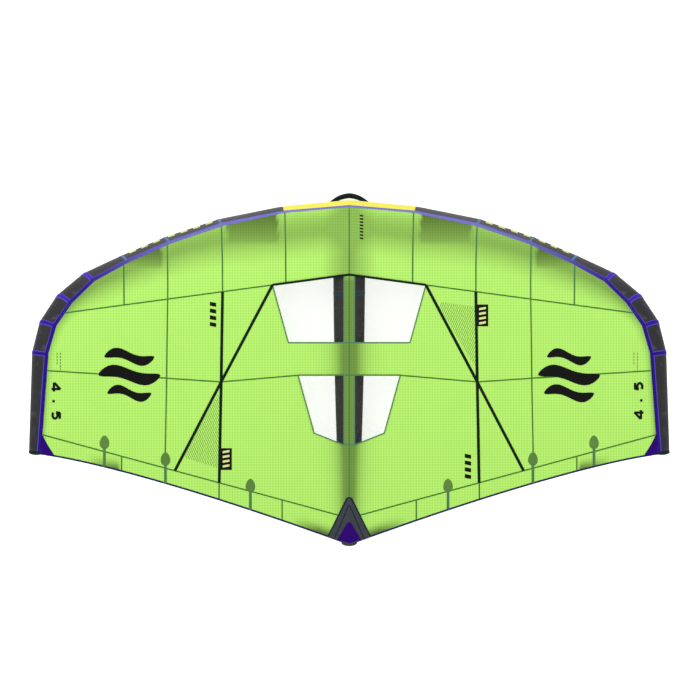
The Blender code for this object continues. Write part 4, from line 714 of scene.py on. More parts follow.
@dataclass
class CanopyShape:
    """The canopy as one height for each plan point, as the CAD source has it."""

    plan: Plan
    tube: TubeShape
    strut: "StrutShape"
    camber_peak: float = 0.3
    strut_camber: float = 0.086
    billow_camber: float = 0.015
    billow_reach: float = 0.12
    tip_flatten: float = 0.35
    wrap_rise: float = 0.014
    wrap_reach: float = 0.022
    trailing_power: float = 1.25
    rise_power: float = 1.25
    mean_power: float = 8.0
    tip_corner_share: float = 0.7365
    trailing_root_share: float = 0.9963
    seam_strip: float = 0.025
    seam_fade: float = 0.10
    seam_dip: float = 0.0005
    seam_dip_reach: float = 0.012
    seam_dip_fade: float = 0.03
    halvings: int = 40
    dip_lines: tuple = ()

    def __post_init__(self) -> None:
        """Find the seam's edges and the height of the trailing edge at the strut."""
        plan = self.plan
        self.seam = self.tube.seam
        self.tip_x = self.seam[-1][0]
        self.tip_y = plan.front_y - self.tip_corner_share * plan.root_chord
        self.root_y = plan.front_y - self.trailing_root_share * plan.root_chord
        edges = unit(np.diff(self.seam[:, :2], axis=0))
        self.edge_normals = np.stack([-edges[:, 1], edges[:, 0]], axis=1)
        self.root_z = 0.0
        end_y = plan.aft_y + self.strut.dome
        share = (self.leading_y(0) - end_y) / (self.leading_y(0) - self.root_y)
        rest = 2 * self.strut.radius_at(end_y) + plan.gap + plan.sheet / 2
        self.root_z = (rest - float(self.height(0, end_y))) / share

    def leading_y(self, x: Length) -> Array:
        """Plan position of the seam on the leading edge."""
        return np.interp(x, self.seam[:, 0], self.seam[:, 1])

    def leading_x(self, y: Length) -> Array:
        """Span position of the seam on the leading edge."""
        return np.interp(-np.asarray(y, float), -self.seam[:, 1], self.seam[:, 0])

    def trailing_y(self, x: Length) -> Array:
        """Plan position of the hollow trailing edge."""
        share = np.clip(np.abs(x) / self.tip_x, 0, 1)
        return self.tip_y + (self.root_y - self.tip_y) * (1 - share) ** self.trailing_power

    def line_y(self, shares: tuple) -> Callable:
        """A seam's plan position as a function of span position, from shares of half span and chord."""
        table = np.array(shares)
        plan = self.plan
        return lambda x: plan.front_y - plan.root_chord * np.interp(
            np.abs(x) / plan.half_span, table[:, 0], table[:, 1])

    def meeting(self, curve: Callable) -> float:
        """Span position where a seam meets the leading edge."""
        low, high = 0.0, float(self.tip_x)
        for _ in range(self.halvings):
            middle = (low + high) / 2
            low, high = (middle, high) if self.leading_y(middle) > curve(middle) else (low, middle)
        return low

    def leading_distance(self, x: Array, y: Array) -> Array:
        """Smooth distance in plan from the seam on the leading edge: a power mean over its edges."""
        away = (self.seam[:-1, 0] - x[..., None]) * self.edge_normals[:, 0]
        away = away + (self.seam[:-1, 1] - y[..., None]) * self.edge_normals[:, 1]
        return np.sum(np.maximum(away, 1e-6) ** -self.mean_power, axis=-1) ** (-1 / self.mean_power)

    def height(self, x: Length, y: Length) -> Array:
        """Height of the sheet's middle: a line from seam to trailing edge, plus camber, wrap and drape."""
        x, y = np.broadcast_arrays(np.abs(np.asarray(x, float)), np.asarray(y, float))
        front, rear = self.leading_y(x), self.trailing_y(x)
        share = np.clip((front - y) / (front - rear), 0, 1)
        across = np.clip(x / self.tip_x, 0, 1)
        leading_z = np.interp(x, self.seam[:, 0], self.seam[:, 2])
        trailing_z = self.root_z + (self.seam[-1][2] - self.root_z) * across**self.rise_power
        ahead = self.leading_distance(x, y)
        run = ahead + np.maximum(y - rear, 0)
        s, peak = ahead / run, self.camber_peak
        fore = (2 * peak * s - s**2) / peak**2
        aft = (1 - 2 * peak + 2 * peak * s - s**2) / (1 - peak) ** 2
        beside = np.maximum(x - self.seam_strip, 0)
        camber = self.strut_camber + self.billow_camber * (1 - np.exp(-beside / self.billow_reach))
        camber = camber * (1 - self.tip_flatten * (x / self.plan.half_span) ** 2)
        wrap = self.wrap_rise * (1 - np.exp(-ahead / self.wrap_reach)) * (1 - across) * (1 - s)
        drape = np.minimum(x, self.seam_strip) ** 2 / (2 * self.strut.radius)
        drape = drape * np.exp(-beside / self.billow_reach) * (1 - np.exp(-ahead / self.seam_fade))
        base = (1 - share) * leading_z + share * trailing_z
        return base + camber * run * np.where(s < peak, fore, aft) + wrap - drape

    def line_distance(self, x: Array, y: Array) -> Array:
        """Least plan distance to any of the straight seam lines that the cloth dips at."""
        place = np.stack([np.abs(x), y], axis=-1)
        least = np.full(np.shape(x), 1.0)
        for line in self.dip_lines:
            for start, end in zip(np.array(line[:-1]), np.array(line[1:])):
                run = end - start
                share = np.clip((place - start) @ run / (run @ run), 0, 1)
                least = np.minimum(least, np.linalg.norm(place - start - share[..., None] * run, axis=-1))
        return least

    def cloth(self, x: Array, y: Array, lift: Length = 0.0) -> Array:
        """Points of the cloth: the CAD height, drawn down a little along each seam."""
        x, y = np.broadcast_arrays(np.asarray(x, float), np.asarray(y, float))
        dip = self.seam_dip * np.exp(-((self.line_distance(x, y) / self.seam_dip_reach) ** 2))
        dip = dip * (1 - np.exp(-self.leading_distance(np.abs(x), y) / self.seam_dip_fade))
        return np.stack([x, y, self.height(x, y) - dip + lift], axis=-1)


@dataclass
class StrutShape:
    """The centre strut: a tapered tube whose top line follows the canopy."""

    plan: Plan
    radius: float = 0.082
    end_radius: float = 0.039
    taper_power: float = 2.4
    dome: float = 0.018
    start_share: float = 0.056
    seam_shares: tuple = (0.2690, 0.6969)
    fit: float = 0.992

    def radius_at(self, y: Length) -> Array:
        """Radius at a place along the strut: it shrinks with a power of the chord share."""
        share = np.clip((self.plan.front_y - y) / self.plan.root_chord, 0, 1)
        return self.radius - (self.radius - self.end_radius) * share**self.taper_power

    def centre(self, canopy: CanopyShape, y: Array) -> Array:
        """Middle of the strut under the canopy."""
        top = canopy.height(np.zeros_like(y), y) - self.plan.sheet / 2 - self.plan.gap
        return np.stack([np.zeros_like(y), y, top - self.radius_at(y)], axis=-1)

    def surface(self, canopy: CanopyShape, y: Array, angle: Array,
                offset: Length = 0.0) -> Array:
        """Points round the strut at angles from straight right towards up."""
        reach = self.radius_at(y) * self.fit + offset
        round_it = np.stack([reach * np.cos(angle), 0 * reach, reach * np.sin(angle)], axis=-1)
        return self.centre(canopy, y) + round_it


@dataclass
class Draper:
    """Lays flat tapes, patches and prints on the cloth."""

    canopy: CanopyShape
    step: float = 0.012
    disc_sides: int = 32
    disc_shares: tuple = (0.02, 0.35, 0.7, 0.93, 1.0)
    disc_rim: float = -0.0001

    def box(self, left: Array, right: Array, above: float, below: float, columns: int = 1,
            values: Optional[dict] = None) -> Skin:
        """A thin closed strip between two plan lines.

        The strip is straight from the left line to the right one, and each of its points is lifted to the
        cloth, above it on the top face and below it on the bottom face.

        Args:
            left: (n, 2) plan points of one edge.
            right: (n, 2) plan points of the other edge.
            above: how far the top face stands over the cloth's middle.
            below: how far the bottom face hangs under it.
            columns: how many quads across.
            values: functions of the plan position for vertex attributes.

        Returns:
            The strip.
        """
        share = np.linspace(0, 1, columns + 1)[None, :, None]
        plan = left[:, None] * (1 - share) + right[:, None] * share
        top = self.canopy.cloth(plan[..., 0], plan[..., 1], above)
        bottom = self.canopy.cloth(plan[..., 0], plan[..., 1], -below)
        points = np.concatenate([top, bottom[:, ::-1]], axis=1)
        run = run_along((left + right) / 2)
        across = np.concatenate([np.linspace(0, 1, columns + 1), np.linspace(1, 0, columns + 1), [0.0]])
        uv = grid_of(run, across)
        extra = {name: value(points[..., 0], points[..., 1]) for name, value in (values or {}).items()}
        return Skin.grid(points, uv, wrap=True, caps=True, values=extra)

    def tape(self, path: Sequence, width: float, above: float = 0.0009, below: float = 0.0009,
             side: Side = Side.RIGHT, values: Optional[dict] = None) -> Skin:
        """A tape of even width along a plan path, mitred at its corners.

        Args:
            path: plan points of the middle of the tape, on the right half.
            width: the tape's width.
            above: height of its top over the cloth's middle.
            below: depth of its bottom under it.
            side: the half it lies on.
            values: functions of the plan position for vertex attributes.

        Returns:
            The tape.
        """
        line = resample(np.array(path, float), self.step)
        mitre, after = mitres(line)
        mitre = mitre / np.maximum(np.sum(mitre * after, axis=1), 0.5)[:, None]
        mirror = side.mirror[:2]
        left, right = line + width / 2 * mitre, line - width / 2 * mitre
        return self.box(left * mirror, right * mirror, above, below, max(1, round(width / self.step)), values)

    def quad(self, corners: Sequence, above: float, below: float, middle: Sequence, turn: int = 1) -> Skin:
        """A four-sided print or patch.

        Args:
            corners: four plan corners in order round it, before they are turned and moved.
            above: height of its top over the cloth's middle.
            below: depth of its bottom under it.
            middle: the plan point that the corners are measured from.
            turn: minus one for half a turn round that point.

        Returns:
            The patch.
        """
        a, b, c, d = (np.array(p, float) * turn + middle for p in corners)
        count = max(2, math.ceil(max(np.linalg.norm(b - a), np.linalg.norm(c - d)) / self.step))
        share = np.linspace(0, 1, count + 1)[:, None]
        columns = max(1, round(float(np.linalg.norm(d - a)) / self.step))
        return self.box(a + share * (b - a), d + share * (c - d), above, below, columns)

    def disc(self, middle: Sequence, half_width: float, half_length: float, egg: float = 0.0,
             above: float = 0.0011) -> Skin:
        """An egg-shaped patch with a thin rounded rim.

        Args:
            middle: plan point of its middle.
            half_width: half its size across.
            half_length: half its size fore and aft.
            egg: how much wider its forward end is.
            above: height of its top over the cloth's middle.

        Returns:
            The patch.
        """
        angle = round_angles(self.disc_sides)
        shares = np.array(self.disc_shares)
        lifts = np.where(shares < 1, above, self.disc_rim)
        outline_x = half_width * np.sin(angle) * (1 + egg * np.cos(angle))
        outline_y = half_length * np.cos(angle)
        x, y = middle[0] + shares[:, None] * outline_x, middle[1] + shares[:, None] * outline_y
        points = self.canopy.cloth(x, y, lifts[:, None])
        uv = np.stack([x, y], axis=2)
        ring = Skin.grid(points, np.concatenate([uv, uv[:, :1]], axis=1), wrap=True)
        middle_face = list(range(len(angle)))[::-1]
        return Skin(ring.points, ring.faces + [middle_face], np.concatenate([ring.uvs, uv[0][::-1]]))


@dataclass
class LeadingEdge:
    """The leading edge: sewn panels, bands over their seams, lime marks and the joint with the canopy."""

    tube: TubeShape
    canopy: CanopyShape
    sides: int = 96
    ring_step: float = 0.014
    groove: float = 0.0006
    groove_reach: float = 0.006
    groove_rings: tuple = (0.0, 0.4, 1.0)
    pucker: float = 0.0009
    pucker_reach: float = 0.024
    puckers: int = 16
    pucker_lobes: int = 3
    pucker_phase: float = 1.3
    rim: float = 0.004
    violet_band: float = 0.025
    teal_band: float = 0.013
    band_shift: float = 0.005
    # painted shade of the violet bands, from the fifth joint out
    band_shades: tuple = (0.0, 0.33, 0.78, 1.0)
    band_thickness: float = 0.0008
    band_edge: float = 0.0006
    band_rims: tuple = (-0.4, 1.0, 1.0, 1.0, 1.0, 1.0, -0.4)
    # span positions over which painted shade takes the grey cloth to its darker colour
    cloth_shade_span: tuple = (0.9, 1.45)
    end_bulge: float = 0.34
    end_turns: tuple = (0.0, 12, 25, 38, 50, 62, 73, 82, 88)
    sleeve_reach: float = 0.009
    sleeve_edge: float = 0.001
    over_tube: tuple = ((0.0, -0.0002), (0.06, 0.0007), (0.4, 0.0009), (0.75, 0.0011), (0.97, 0.0018))
    over_cloth: tuple = ((0.25, 0.0013), (0.6, 0.0012), (0.94, 0.0011), (1.0, -0.0001))
    strip_step: float = 0.02
    strip_widths_px: tuple = (1.9, 1.8, 2.4, 2.3, 2.9, 2.9, 2.1, 3.0, 3.6, 3.8)
    lap_widths_px: tuple = (0.4, 0.9, 1.4, 1.3, 1.2, 1.5, 1.8, 1.2, 0.5, 0.4)
    # painted light along the joint webbing: span positions, and how far each takes its deep colour
    strip_shade_spans: tuple = (0.5, 0.76, 1.02, 1.2, 1.32, 1.5)
    strip_shade_table: tuple = (0.0, 0.16, 0.42, 0.76, 0.96, 1.0)
    mark_step: float = 0.067
    mark_width: float = 0.036
    mark_margin: float = 0.040
    mark_degrees: tuple = (-52, 27)
    mark_lean: float = 0.03
    mark_lift: float = 0.0005
    mark_girth: float = 0.08
    mark_rows: int = 20
    valve_facet: int = 2
    valve_inset: float = 0.062
    valve_hole: float = 0.0255
    valve_depth: float = 0.05

    def casing(self, panel: int, side: Side) -> Array:
        """Grid of one panel from its inner joint to its outer one.

        The radius dips by the groove times a bell curve of the distance to each joint. Round each joint the
        sewing gathers the cloth into shallow puckers: a sine of the angle under a wider bell curve. The first
        and last rows are turned in by the rim.
        """
        length = self.tube.lengths[panel]
        count = max(6, math.ceil(length / self.ring_step))
        edge = np.array(self.groove_rings) * self.groove_reach / length
        inner = edge[-1] * 1.6
        share = np.unique(np.concatenate([edge, np.linspace(inner, 1 - inner, count), 1 - edge]))
        away = np.minimum(share, 1 - share) * length
        angle = round_angles(self.sides)
        joint = (panel + (share > 0.5))[:, None]
        gathers = np.sin(self.puckers * angle + self.pucker_phase * joint)
        wave = 0.5 + 0.5 * gathers * np.cos(self.pucker_lobes * angle + joint)
        fade = np.exp(-((away / self.pucker_reach) ** 2))
        depth = -self.groove * np.exp(-((away / self.groove_reach) ** 2))[:, None]
        depth = depth - self.pucker * fade[:, None] * wave
        share = np.concatenate([[0.0], share, [1.0]])
        depth = np.vstack([0 * angle - self.rim, depth, 0 * angle - self.rim])
        return self.tube.surface(panel, share[:, None], angle, depth) * side.mirror

    def cloth_uv(self, points: Array) -> Array:
        """Metres along and round the tube for a wrapped grid."""
        along = run_along(points[:, 0])
        side = np.linalg.norm(np.diff(points[len(points) // 2], axis=0), axis=1).mean()
        return grid_of(along, side * np.arange(points.shape[1] + 1))

    def clear_of_valve(self, points: Array) -> Array:
        """Which quads of the middle casing lie outside the hole under the valve's flange.

        A quad is outside where its middle is farther from the valve's axis than the hole's radius.
        """
        place = np.array([self.tube.axis[1][0] - self.valve_inset])
        angle = self.tube.facet_angle(self.valve_facet)
        centre, normal = (value[0] for value in self.tube.middle(place, angle, np.zeros(1), 1.0))
        around = np.concatenate([points, points[:, :1]], axis=1)
        away = (around[:-1, :-1] + around[1:, 1:]) / 2 - centre
        height = away @ normal
        across = np.linalg.norm(away - height[..., None] * normal, axis=-1)
        return (across > self.valve_hole) | (height < -self.valve_depth)

    def panels(self) -> None:
        """Every panel of the tube, the middle one yellow and the rest grey."""
        right = self.casing(0, Side.RIGHT)[1:]
        left = self.casing(0, Side.LEFT)[1:][::-1]
        middle = np.concatenate([left[:-1], right])
        skin = Skin.grid(middle, self.cloth_uv(middle), wrap=True, keep=self.clear_of_valve(middle))
        skin.piece("leading_edge_middle_casing", YELLOW_CLOTH, "dacron_yellow",
                   replaces=["leading_edge_middle_panel"])
        for side in Side:
            for number in range(1, 8):
                points = self.casing(number, side)
                # painted light: the grey cloth is lighter near the middle and darker towards the tips
                tone = np.interp(np.abs(points[..., 0]), self.cloth_shade_span, (0, 1))
                skin = Skin.grid(points, self.cloth_uv(points), wrap=True, values={"tone": tone})
                skin.piece(f"leading_edge_casing_{number}_{side.word}", GREY_CLOTH, "dacron_grey",
                           replaces=[f"leading_edge_panel_{number}_{side.word}"])
            self.tip(side)

    def tip(self, side: Side) -> None:
        """The last panel with its bulged end, a quarter ellipse past the last joint."""
        body = self.casing(8, Side.RIGHT)[:-1]
        angle = round_angles(self.sides)
        turn = np.radians(self.end_turns)
        radius = self.tube.radius[9]
        shrink = -radius * (1 - np.cos(turn))
        inset = (1 - self.tube.fit) * radius * np.cos(turn)
        dome = self.tube.joint(9, angle, (shrink - inset)[:, None])
        dome = dome + (self.end_bulge * radius * np.sin(turn))[:, None, None] * self.tube.along[9]
        points = np.concatenate([body[:-2], dome]) * side.mirror
        # the tip takes the darker colour of the painted shade in full
        tone = np.ones(points.shape[:2])
        skin = Skin.grid(points, self.cloth_uv(points), wrap=True, caps=True, values={"tone": tone})
        skin.piece(f"leading_edge_tip_casing_{side.word}", GREY_CLOTH, "dacron_grey",
                   replaces=[f"leading_edge_tip_{side.word}"])
        cap = self.tube.joint(9, angle, (shrink + self.band_thickness)[:, None])
        past = (self.end_bulge * radius + self.band_thickness) * np.sin(turn)
        cap = cap + past[:, None, None] * self.tube.along[9]
        reach = np.array((self.sleeve_reach, self.sleeve_reach - self.sleeve_edge, 0.0))
        share = 1 - reach[:, None] / self.tube.lengths[8]
        lift = np.array((0.0, 1.0, 1.0))[:, None] * self.band_thickness
        sleeve = self.tube.surface(8, share, angle, lift)
        points = np.concatenate([sleeve[:-1], cap]) * side.mirror
        skin = Skin.grid(points, self.cloth_uv(points), wrap=True, caps=True)
        skin.piece(f"leading_edge_end_patch_{side.word}", END_CLOTH, "dacron_grey")

    def band(self, joint: int, width: float, side: Side) -> Skin:
        """A sewn band over one seam, more of it on the outer panel, its edges thinning to the cloth.

        Args:
            joint: number of the seam.
            width: the band's width.
            side: the half it is on.

        Returns:
            The band.
        """
        back, fore = width / 2 - self.band_shift, width / 2 + self.band_shift
        edge = self.band_edge
        away = np.array((-back, -back + edge, 0.0, fore / 3, fore / 1.5, fore - edge, fore))
        thick = np.array(self.band_rims) * self.band_thickness
        angle = round_angles(self.sides)
        rings = []
        for distance, offset in zip(away, thick):
            panel = joint - (distance < 0)
            share = (distance < 0) + distance / self.tube.lengths[panel]
            rings.append(self.tube.surface(panel, share, angle, offset))
        points = np.stack(rings) * side.mirror
        girth = self.tube.radius[joint] * np.linspace(0, 2 * math.pi, self.sides + 1)
        uv = grid_of((away + back) / width, girth)[..., ::-1]
        # painted shade: the violet bands darken joint by joint towards the tips
        tone = np.full(points.shape[:2], self.band_shades[joint - 5] if joint > 4 else 0.0)
        return Skin.grid(points, uv, wrap=True, values={"tone": tone})

    def bands(self) -> None:
        """Teal bands over the inner seams and violet ones towards the tips."""
        for joints, width, finish, name in (
            ((2, 3, 4), self.teal_band, TEAL_BAND, "leading_edge_teal_bands"),
            ((5, 6, 7, 8), self.violet_band, PURPLE_BAND, "leading_edge_violet_bands"),
        ):
            skins = [self.band(joint, width, side) for joint in joints for side in Side]
            Skin.joined(skins).piece(name, finish, "webbing_black")

    def strip(self, side: Side) -> Skin:
        """The webbing that joins the canopy to the tube and laps over both.

        On the tube each of its angles goes straight from one joint's to the next, and its forward edge is
        where the cosine of the angle has grown by the visible width over the radius. On the cloth its aft
        edge runs a lap's width behind the seam.
        """
        tube = self.tube
        width, lap = (np.array(px) * METRES_PER_PX for px in (self.strip_widths_px, self.lap_widths_px))
        start = tube.seam_angle
        edge = np.arccos(np.clip(np.cos(start) + width / tube.radius, -1, 1))
        seam = tube.seam[:, :2]
        foot = seam - (lap * tube.mitre)[:, None] * tube.outward[:, :2]
        over_tube, over_cloth = np.array(self.over_tube), np.array(self.over_cloth)
        rows, runs = [], []
        run = 0.0
        for panel in range(9):
            count = max(4, math.ceil(tube.lengths[panel] / self.strip_step))
            share = (np.arange(count + (panel == 8)) / count)[:, None]
            low, high = (a[panel] + share * (a[panel + 1] - a[panel]) for a in (edge, start))
            angles = low + over_tube[:, 0] * (high - low)
            upper = tube.surface(panel, share, angles, over_tube[:, 1])
            first, last = (a[panel] + share * (a[panel + 1] - a[panel]) for a in (seam, foot))
            plan = first[:, None] + over_cloth[:, :1] * (last - first)[:, None]
            lower = self.canopy.cloth(plan[..., 0], plan[..., 1], over_cloth[:, 1])
            rows.append(np.concatenate([upper, lower], axis=1))
            runs.append(run + share[:, 0] * tube.lengths[panel])
            run += tube.lengths[panel]
        points = np.concatenate(rows)
        uv = grid_of(np.concatenate(runs), np.linspace(0, 1, points.shape[1]))
        # painted light: the webbing goes from pale in the middle to deep towards the tips
        tone = np.interp(points[..., 0], self.strip_shade_spans, self.strip_shade_table)
        return Skin.grid(points * side.mirror, uv, values={"tone": tone})

    def marks(self, side: Side) -> Skin:
        """Plain slanted dashes printed along the front of the second and third panels."""
        skins = []
        for panel in (2, 3):
            length = self.tube.lengths[panel]
            for start in np.arange(self.mark_margin, length - self.mark_margin, self.mark_step):
                angle = np.radians(np.linspace(*self.mark_degrees, self.mark_rows))[:, None]
                lean = np.linspace(-self.mark_lean, 0, self.mark_rows)[:, None]
                run = start + np.linspace(0, self.mark_width, 4) + lean
                points = self.tube.surface(panel, run / length, angle, self.mark_lift)
                uv = np.stack([run, angle * self.mark_girth + 0 * run], axis=2)
                skins.append(Skin.grid(points * side.mirror, uv))
        return Skin.joined(skins)

    def build(self) -> None:
        """Make the whole leading edge."""
        self.panels()
        self.bands()
        for side in Side:
            self.strip(side).piece(f"canopy_joint_webbing_{side.word}", PURPLE_TAPE, "webbing_black")
            self.marks(side).piece(f"leading_edge_lime_marks_{side.word}", LIME_PRINT, "dacron_grey")


@dataclass
class Canopy:
    """The canopy cloth as one curved sheet with four openings, and the films in them."""

    shape: CanopyShape
    front_seam: tuple = ((0.0, 0.2159), (1.0, 0.3404))
    middle_seam: tuple = ((0.0, 0.5062), (0.1579, 0.5063), (0.4003, 0.5256), (0.5707, 0.5149), (1.0, 0.4897))
    trailing_seam: tuple = ((0.0, 0.9188), (1.0, 0.6674))
    window_edge: float = 0.030
    front_top: float = 0.3863
    front_foot: tuple = (0.3060, 0.1370)
    rear_top: float = 0.2571
    rear_corner: tuple = (0.1762, -0.3194)
    rear_foot_y: float = -0.3784
    cloth_thickness: float = 0.0006
    film_thickness: float = 0.0005
    shade_spans: tuple = (0.0, 0.30, 0.36, 0.70, 0.80, 1.11, 1.25, 1.40, 1.50)
    shade_table: tuple = (
        (0.03, 0.03, 0.20, 0.41, 0.44, 0.70, 0.72, 0.80, 0.50),
        (0.59, 0.59, 0.60, 0.645, 0.66, 0.70, 0.76, 0.80, 0.50),
        (0.118, 0.118, 0.112, 0.072, 0.060, 0.041, 0.030, 0.010, 0.002),
        (0.232, 0.232, 0.228, 0.183, 0.169, 0.139, 0.115, 0.055, 0.032),
    )
    shade_boxes: tuple = ((0.3548, 0.6105, 0.640, 0.72, 4.68), (0.941, 1.125, 0.516, 0.70, 7.94))
    box_lean: float = 0.06
    box_blur: float = 0.001
    end_blur: float = 0.004
    fade_power: float = 1.4
    strut_flat: float = 0.47
    strut_fade: float = 0.50
    fore_shade: float = 0.68
    fore_reach: float = 0.139
    fore_end_y: float = 0.46
    blend_power: float = 1.3
    fore_limit: float = 0.61
    tail_shade: float = 1.5
    tail_reach: float = 0.038
    tail_span: tuple = (0.15, 0.29)
    pocket_reach: float = 0.036
    pocket_span: tuple = (1.163, 1.323)
    pocket_blur: float = 0.002
    most_shade: float = 1.4
    plain_grey: float = 241
    shade_greys: float = 93
    tint_grey: float = 111
    column_counts: tuple = (3, 24, 22, 20, 15, 12, 14)
    row_counts: tuple = (30, 22, 7, 7, 22, 22, 12)
    first_row_power: float = 1.7
    between_foot: tuple = (0.28, 0.055)
    low_bend: tuple = (0.64, -0.30)
    low_end_y: float = -0.20

    def __post_init__(self) -> None:
        """Seams as functions of span position."""
        self.front = self.shape.line_y(self.front_seam)
        self.middle = self.shape.line_y(self.middle_seam)
        self.trailing = self.shape.line_y(self.trailing_seam)

    def rows(self) -> list:
        """Each row line's span breaks and its curve, from the leading edge to the trailing edge."""
        s = self.shape
        edge, joints = self.window_edge, s.seam[:, 0]
        foot_x, foot_y = self.front_foot
        foot = [(0.0, foot_y), (foot_x, foot_y), (joints[7], s.seam[7][1])]
        between = [(0.0, self.between_foot[1]), self.between_foot, (joints[8], s.seam[8][1])]
        low = [(0.0, self.rear_foot_y), (edge, self.rear_foot_y), self.rear_corner, self.low_bend,
               (float(s.leading_x(self.low_end_y)), self.low_end_y)]
        table = (
            (self.front_top, 0.66, 1.30, s.meeting(self.front), self.front),
            (foot_x, 0.65, 1.32, joints[7], self.polyline(foot)),
            (self.between_foot[0], 0.64, 1.33, joints[8], self.polyline(between)),
            (self.rear_top, 0.64, 1.34, s.meeting(self.middle), self.middle),
            (self.rear_corner[0], 0.64, 1.35, low[-1][0], self.polyline(low)),
            (0.20, 0.64, 1.35, s.meeting(self.trailing), self.trailing),
            (0.20, 0.64, 1.36, s.tip_x, s.trailing_y),
        )
        lines = [([0, edge, window, inner, 0.92, 1.13, outer, end], curve)
                 for window, inner, outer, end, curve in table]
        return [([*joints[:1], edge, *joints[1:7]], s.leading_y), *lines]

    @staticmethod
    def polyline(points: Sequence) -> Callable:
        """A function through plan points."""
        table = np.array(points)
        return lambda x: np.interp(x, table[:, 0], table[:, 1])

    def plan_grid(self) -> tuple:
        """Plan points of the right half, with the numbers of its break rows and columns."""
        counts, rows = self.column_counts, self.row_counts
        lines = []
        for breaks, curve in self.rows():
            spans = zip(breaks[:-1], breaks[1:], counts)
            parts = [np.linspace(a, b, n, endpoint=False) for a, b, n in spans]
            x = np.concatenate([*parts, [breaks[-1]]])
            lines.append(np.stack([x, curve(x)], axis=1))
        grid = []
        for number, (first, second, count) in enumerate(zip(lines[:-1], lines[1:], rows)):
            share = (np.arange(count) / count) ** (1.0 if number else self.first_row_power)
            grid.append(first + share[:, None, None] * (second - first))
        grid.append(lines[-1][None])
        row, column = (np.concatenate([[0], np.cumsum(n)]) for n in (rows, counts))
        return np.concatenate(grid), row, column

    def shade(self, x: Array, y: Array) -> Array:
        """How much painted shade the cloth's colour takes at plan points, from 0 to 1: darkening painted
        where the tubes lie under the thin cloth, and at a few other places.

        Behind the leading edge the painted shade grows as a parabola with the distance from the seam up to a
        crest, and then dies away; both are read from tables by span. Two boxes on each half, with sharp
        sides, add more painted shade. Over the strut the painted shade is full in the middle and falls off
        exponentially. Near the trailing edge more is painted beside the end patch and the outer batten
        pocket.
        The sum is read as a grey of the photograph's scale, from plain cloth to the tint's, and made linear.
        """
        s = self.shape
        side = np.abs(x)
        away = s.leading_distance(side, y)
        start, peak, crest, end = (np.interp(side, self.shade_spans, row) for row in self.shade_table)
        near = start + (peak - start) * (1 - (1 - np.clip(away / crest, 0, 1)) ** 2)
        past_crest = np.clip((away - crest) / (end - crest), 0, 1)
        edge = np.where(away < crest, near, peak * (1 - past_crest) ** self.fade_power)
        for inner, outer, foot, level, slope in self.shade_boxes:
            past = side - inner - self.box_lean * (y - foot)
            inside = self.step(past, self.box_blur) * self.step(outer - inner - past, self.box_blur)
            inside = inside * self.step(y - foot, self.end_blur)
            edge = edge + inside * np.maximum(level + (y - foot) * slope - edge, 0)
        radius = s.strut.radius_at(y)
        over = np.exp(-np.maximum(side - self.strut_flat * radius, 0) / (self.strut_fade * radius))
        fore = self.fore_shade * np.clip(1 - side / self.fore_reach, 0, 1)
        aft = self.step(self.fore_end_y - y, self.end_blur)
        strut = aft * over + (1 - aft) * fore
        power, limit = self.blend_power, self.fore_limit + (1 - self.fore_limit) * aft
        both = np.minimum((edge**power + strut**power) ** (1 / power), np.maximum(limit, edge))
        # painted shade along the trailing edge, beside the end patch and beside the outer batten pocket
        tail = np.maximum(y - s.trailing_y(side), 0)
        low, high = self.tail_span
        end_shade = np.exp(-((tail / self.tail_reach) ** 2)) * np.clip((high - side) / (high - low), 0, 1)
        low, high = self.pocket_span
        pocket = self.step(side - low, self.pocket_blur) * (1 - np.clip((side - low) / (high - low), 0, 1))
        pocket = pocket * np.exp(-((tail / self.pocket_reach) ** 2))
        total = np.maximum(both, self.tail_shade * np.maximum(end_shade, pocket))
        grey = self.plain_grey - self.shade_greys * np.clip(total, 0, self.most_shade)
        greys = (self.plain_grey, grey, self.tint_grey)
        bright, level, dark = (((g / 255 + 0.055) / 1.055) ** 2.4 for g in greys)
        return np.clip((bright - level) / (bright - dark), 0, 1)

    @staticmethod
    def step(value: Array, width: float) -> Array:
        """A smooth step from 0 to 1 round zero."""
        return 1 / (1 + np.exp(np.clip(-value / width, -40, 40)))

    @staticmethod
    def full(grid: Array) -> Array:
        """The right half's plan grid joined to its mirror image at x = 0."""
        left = grid[:, :0:-1] * np.array((-1.0, 1.0))
        return np.concatenate([left, grid], axis=1)

    def sheet_skin(self, grid: Array, keep: Optional[Array] = None) -> Skin:
        """A sheet over a plan grid, its UV map the plan in metres."""
        points = self.shape.cloth(grid[..., 0], grid[..., 1])
        values = {"shade": self.shade(grid[..., 0], grid[..., 1])}
        return Skin.grid(points, grid, keep=keep, values=values).trimmed()

    @staticmethod
    def thicken(obj: bpy.types.Object, thickness: float) -> None:
        """Give a sheet its thickness, half of it each way."""
        modifier = obj.modifiers.new("thickness", "SOLIDIFY")
        modifier.thickness = thickness
        modifier.offset = 0.0

    def build(self) -> None:
        """Make the cloth and the four films."""
        half, row, column = self.plan_grid()
        grid = self.full(half)
        columns = half.shape[1] - 1
        keep = np.ones((grid.shape[0] - 1, grid.shape[1] - 1), bool)
        for first, last in ((1, 2), (4, 5)):
            keep[row[first] : row[last], columns + column[1] : columns + column[2]] = False
            keep[row[first] : row[last], columns - column[2] : columns - column[1]] = False
        parts = ("front", "middle", "rear", "trailing")
        nodes = [f"canopy_{part}_panel_{side.word}" for part in parts for side in Side]
        cloth = self.sheet_skin(grid, keep).piece("canopy_cloth", RIPSTOP, "canopy_ripstop", replaces=nodes)
        self.thicken(cloth, self.cloth_thickness)
        for part, (first, last), flat, area in (
            ("front", (1, 2), (0.36, 0.34), 0.1013),
            ("rear", (4, 5), (0.23, 0.36), 0.0602),
        ):
            block = half[row[first] : row[last] + 1, column[1] : column[2] + 1]
            for side in Side:
                skin = self.sheet_skin(block * side.mirror[:2])
                film = skin.piece(f"{part}_window_film_{side.word}", FILM, "window_film",
                                  replaces=[f"{part}_window_{side.word}"])
                self.thicken(film, self.film_thickness)


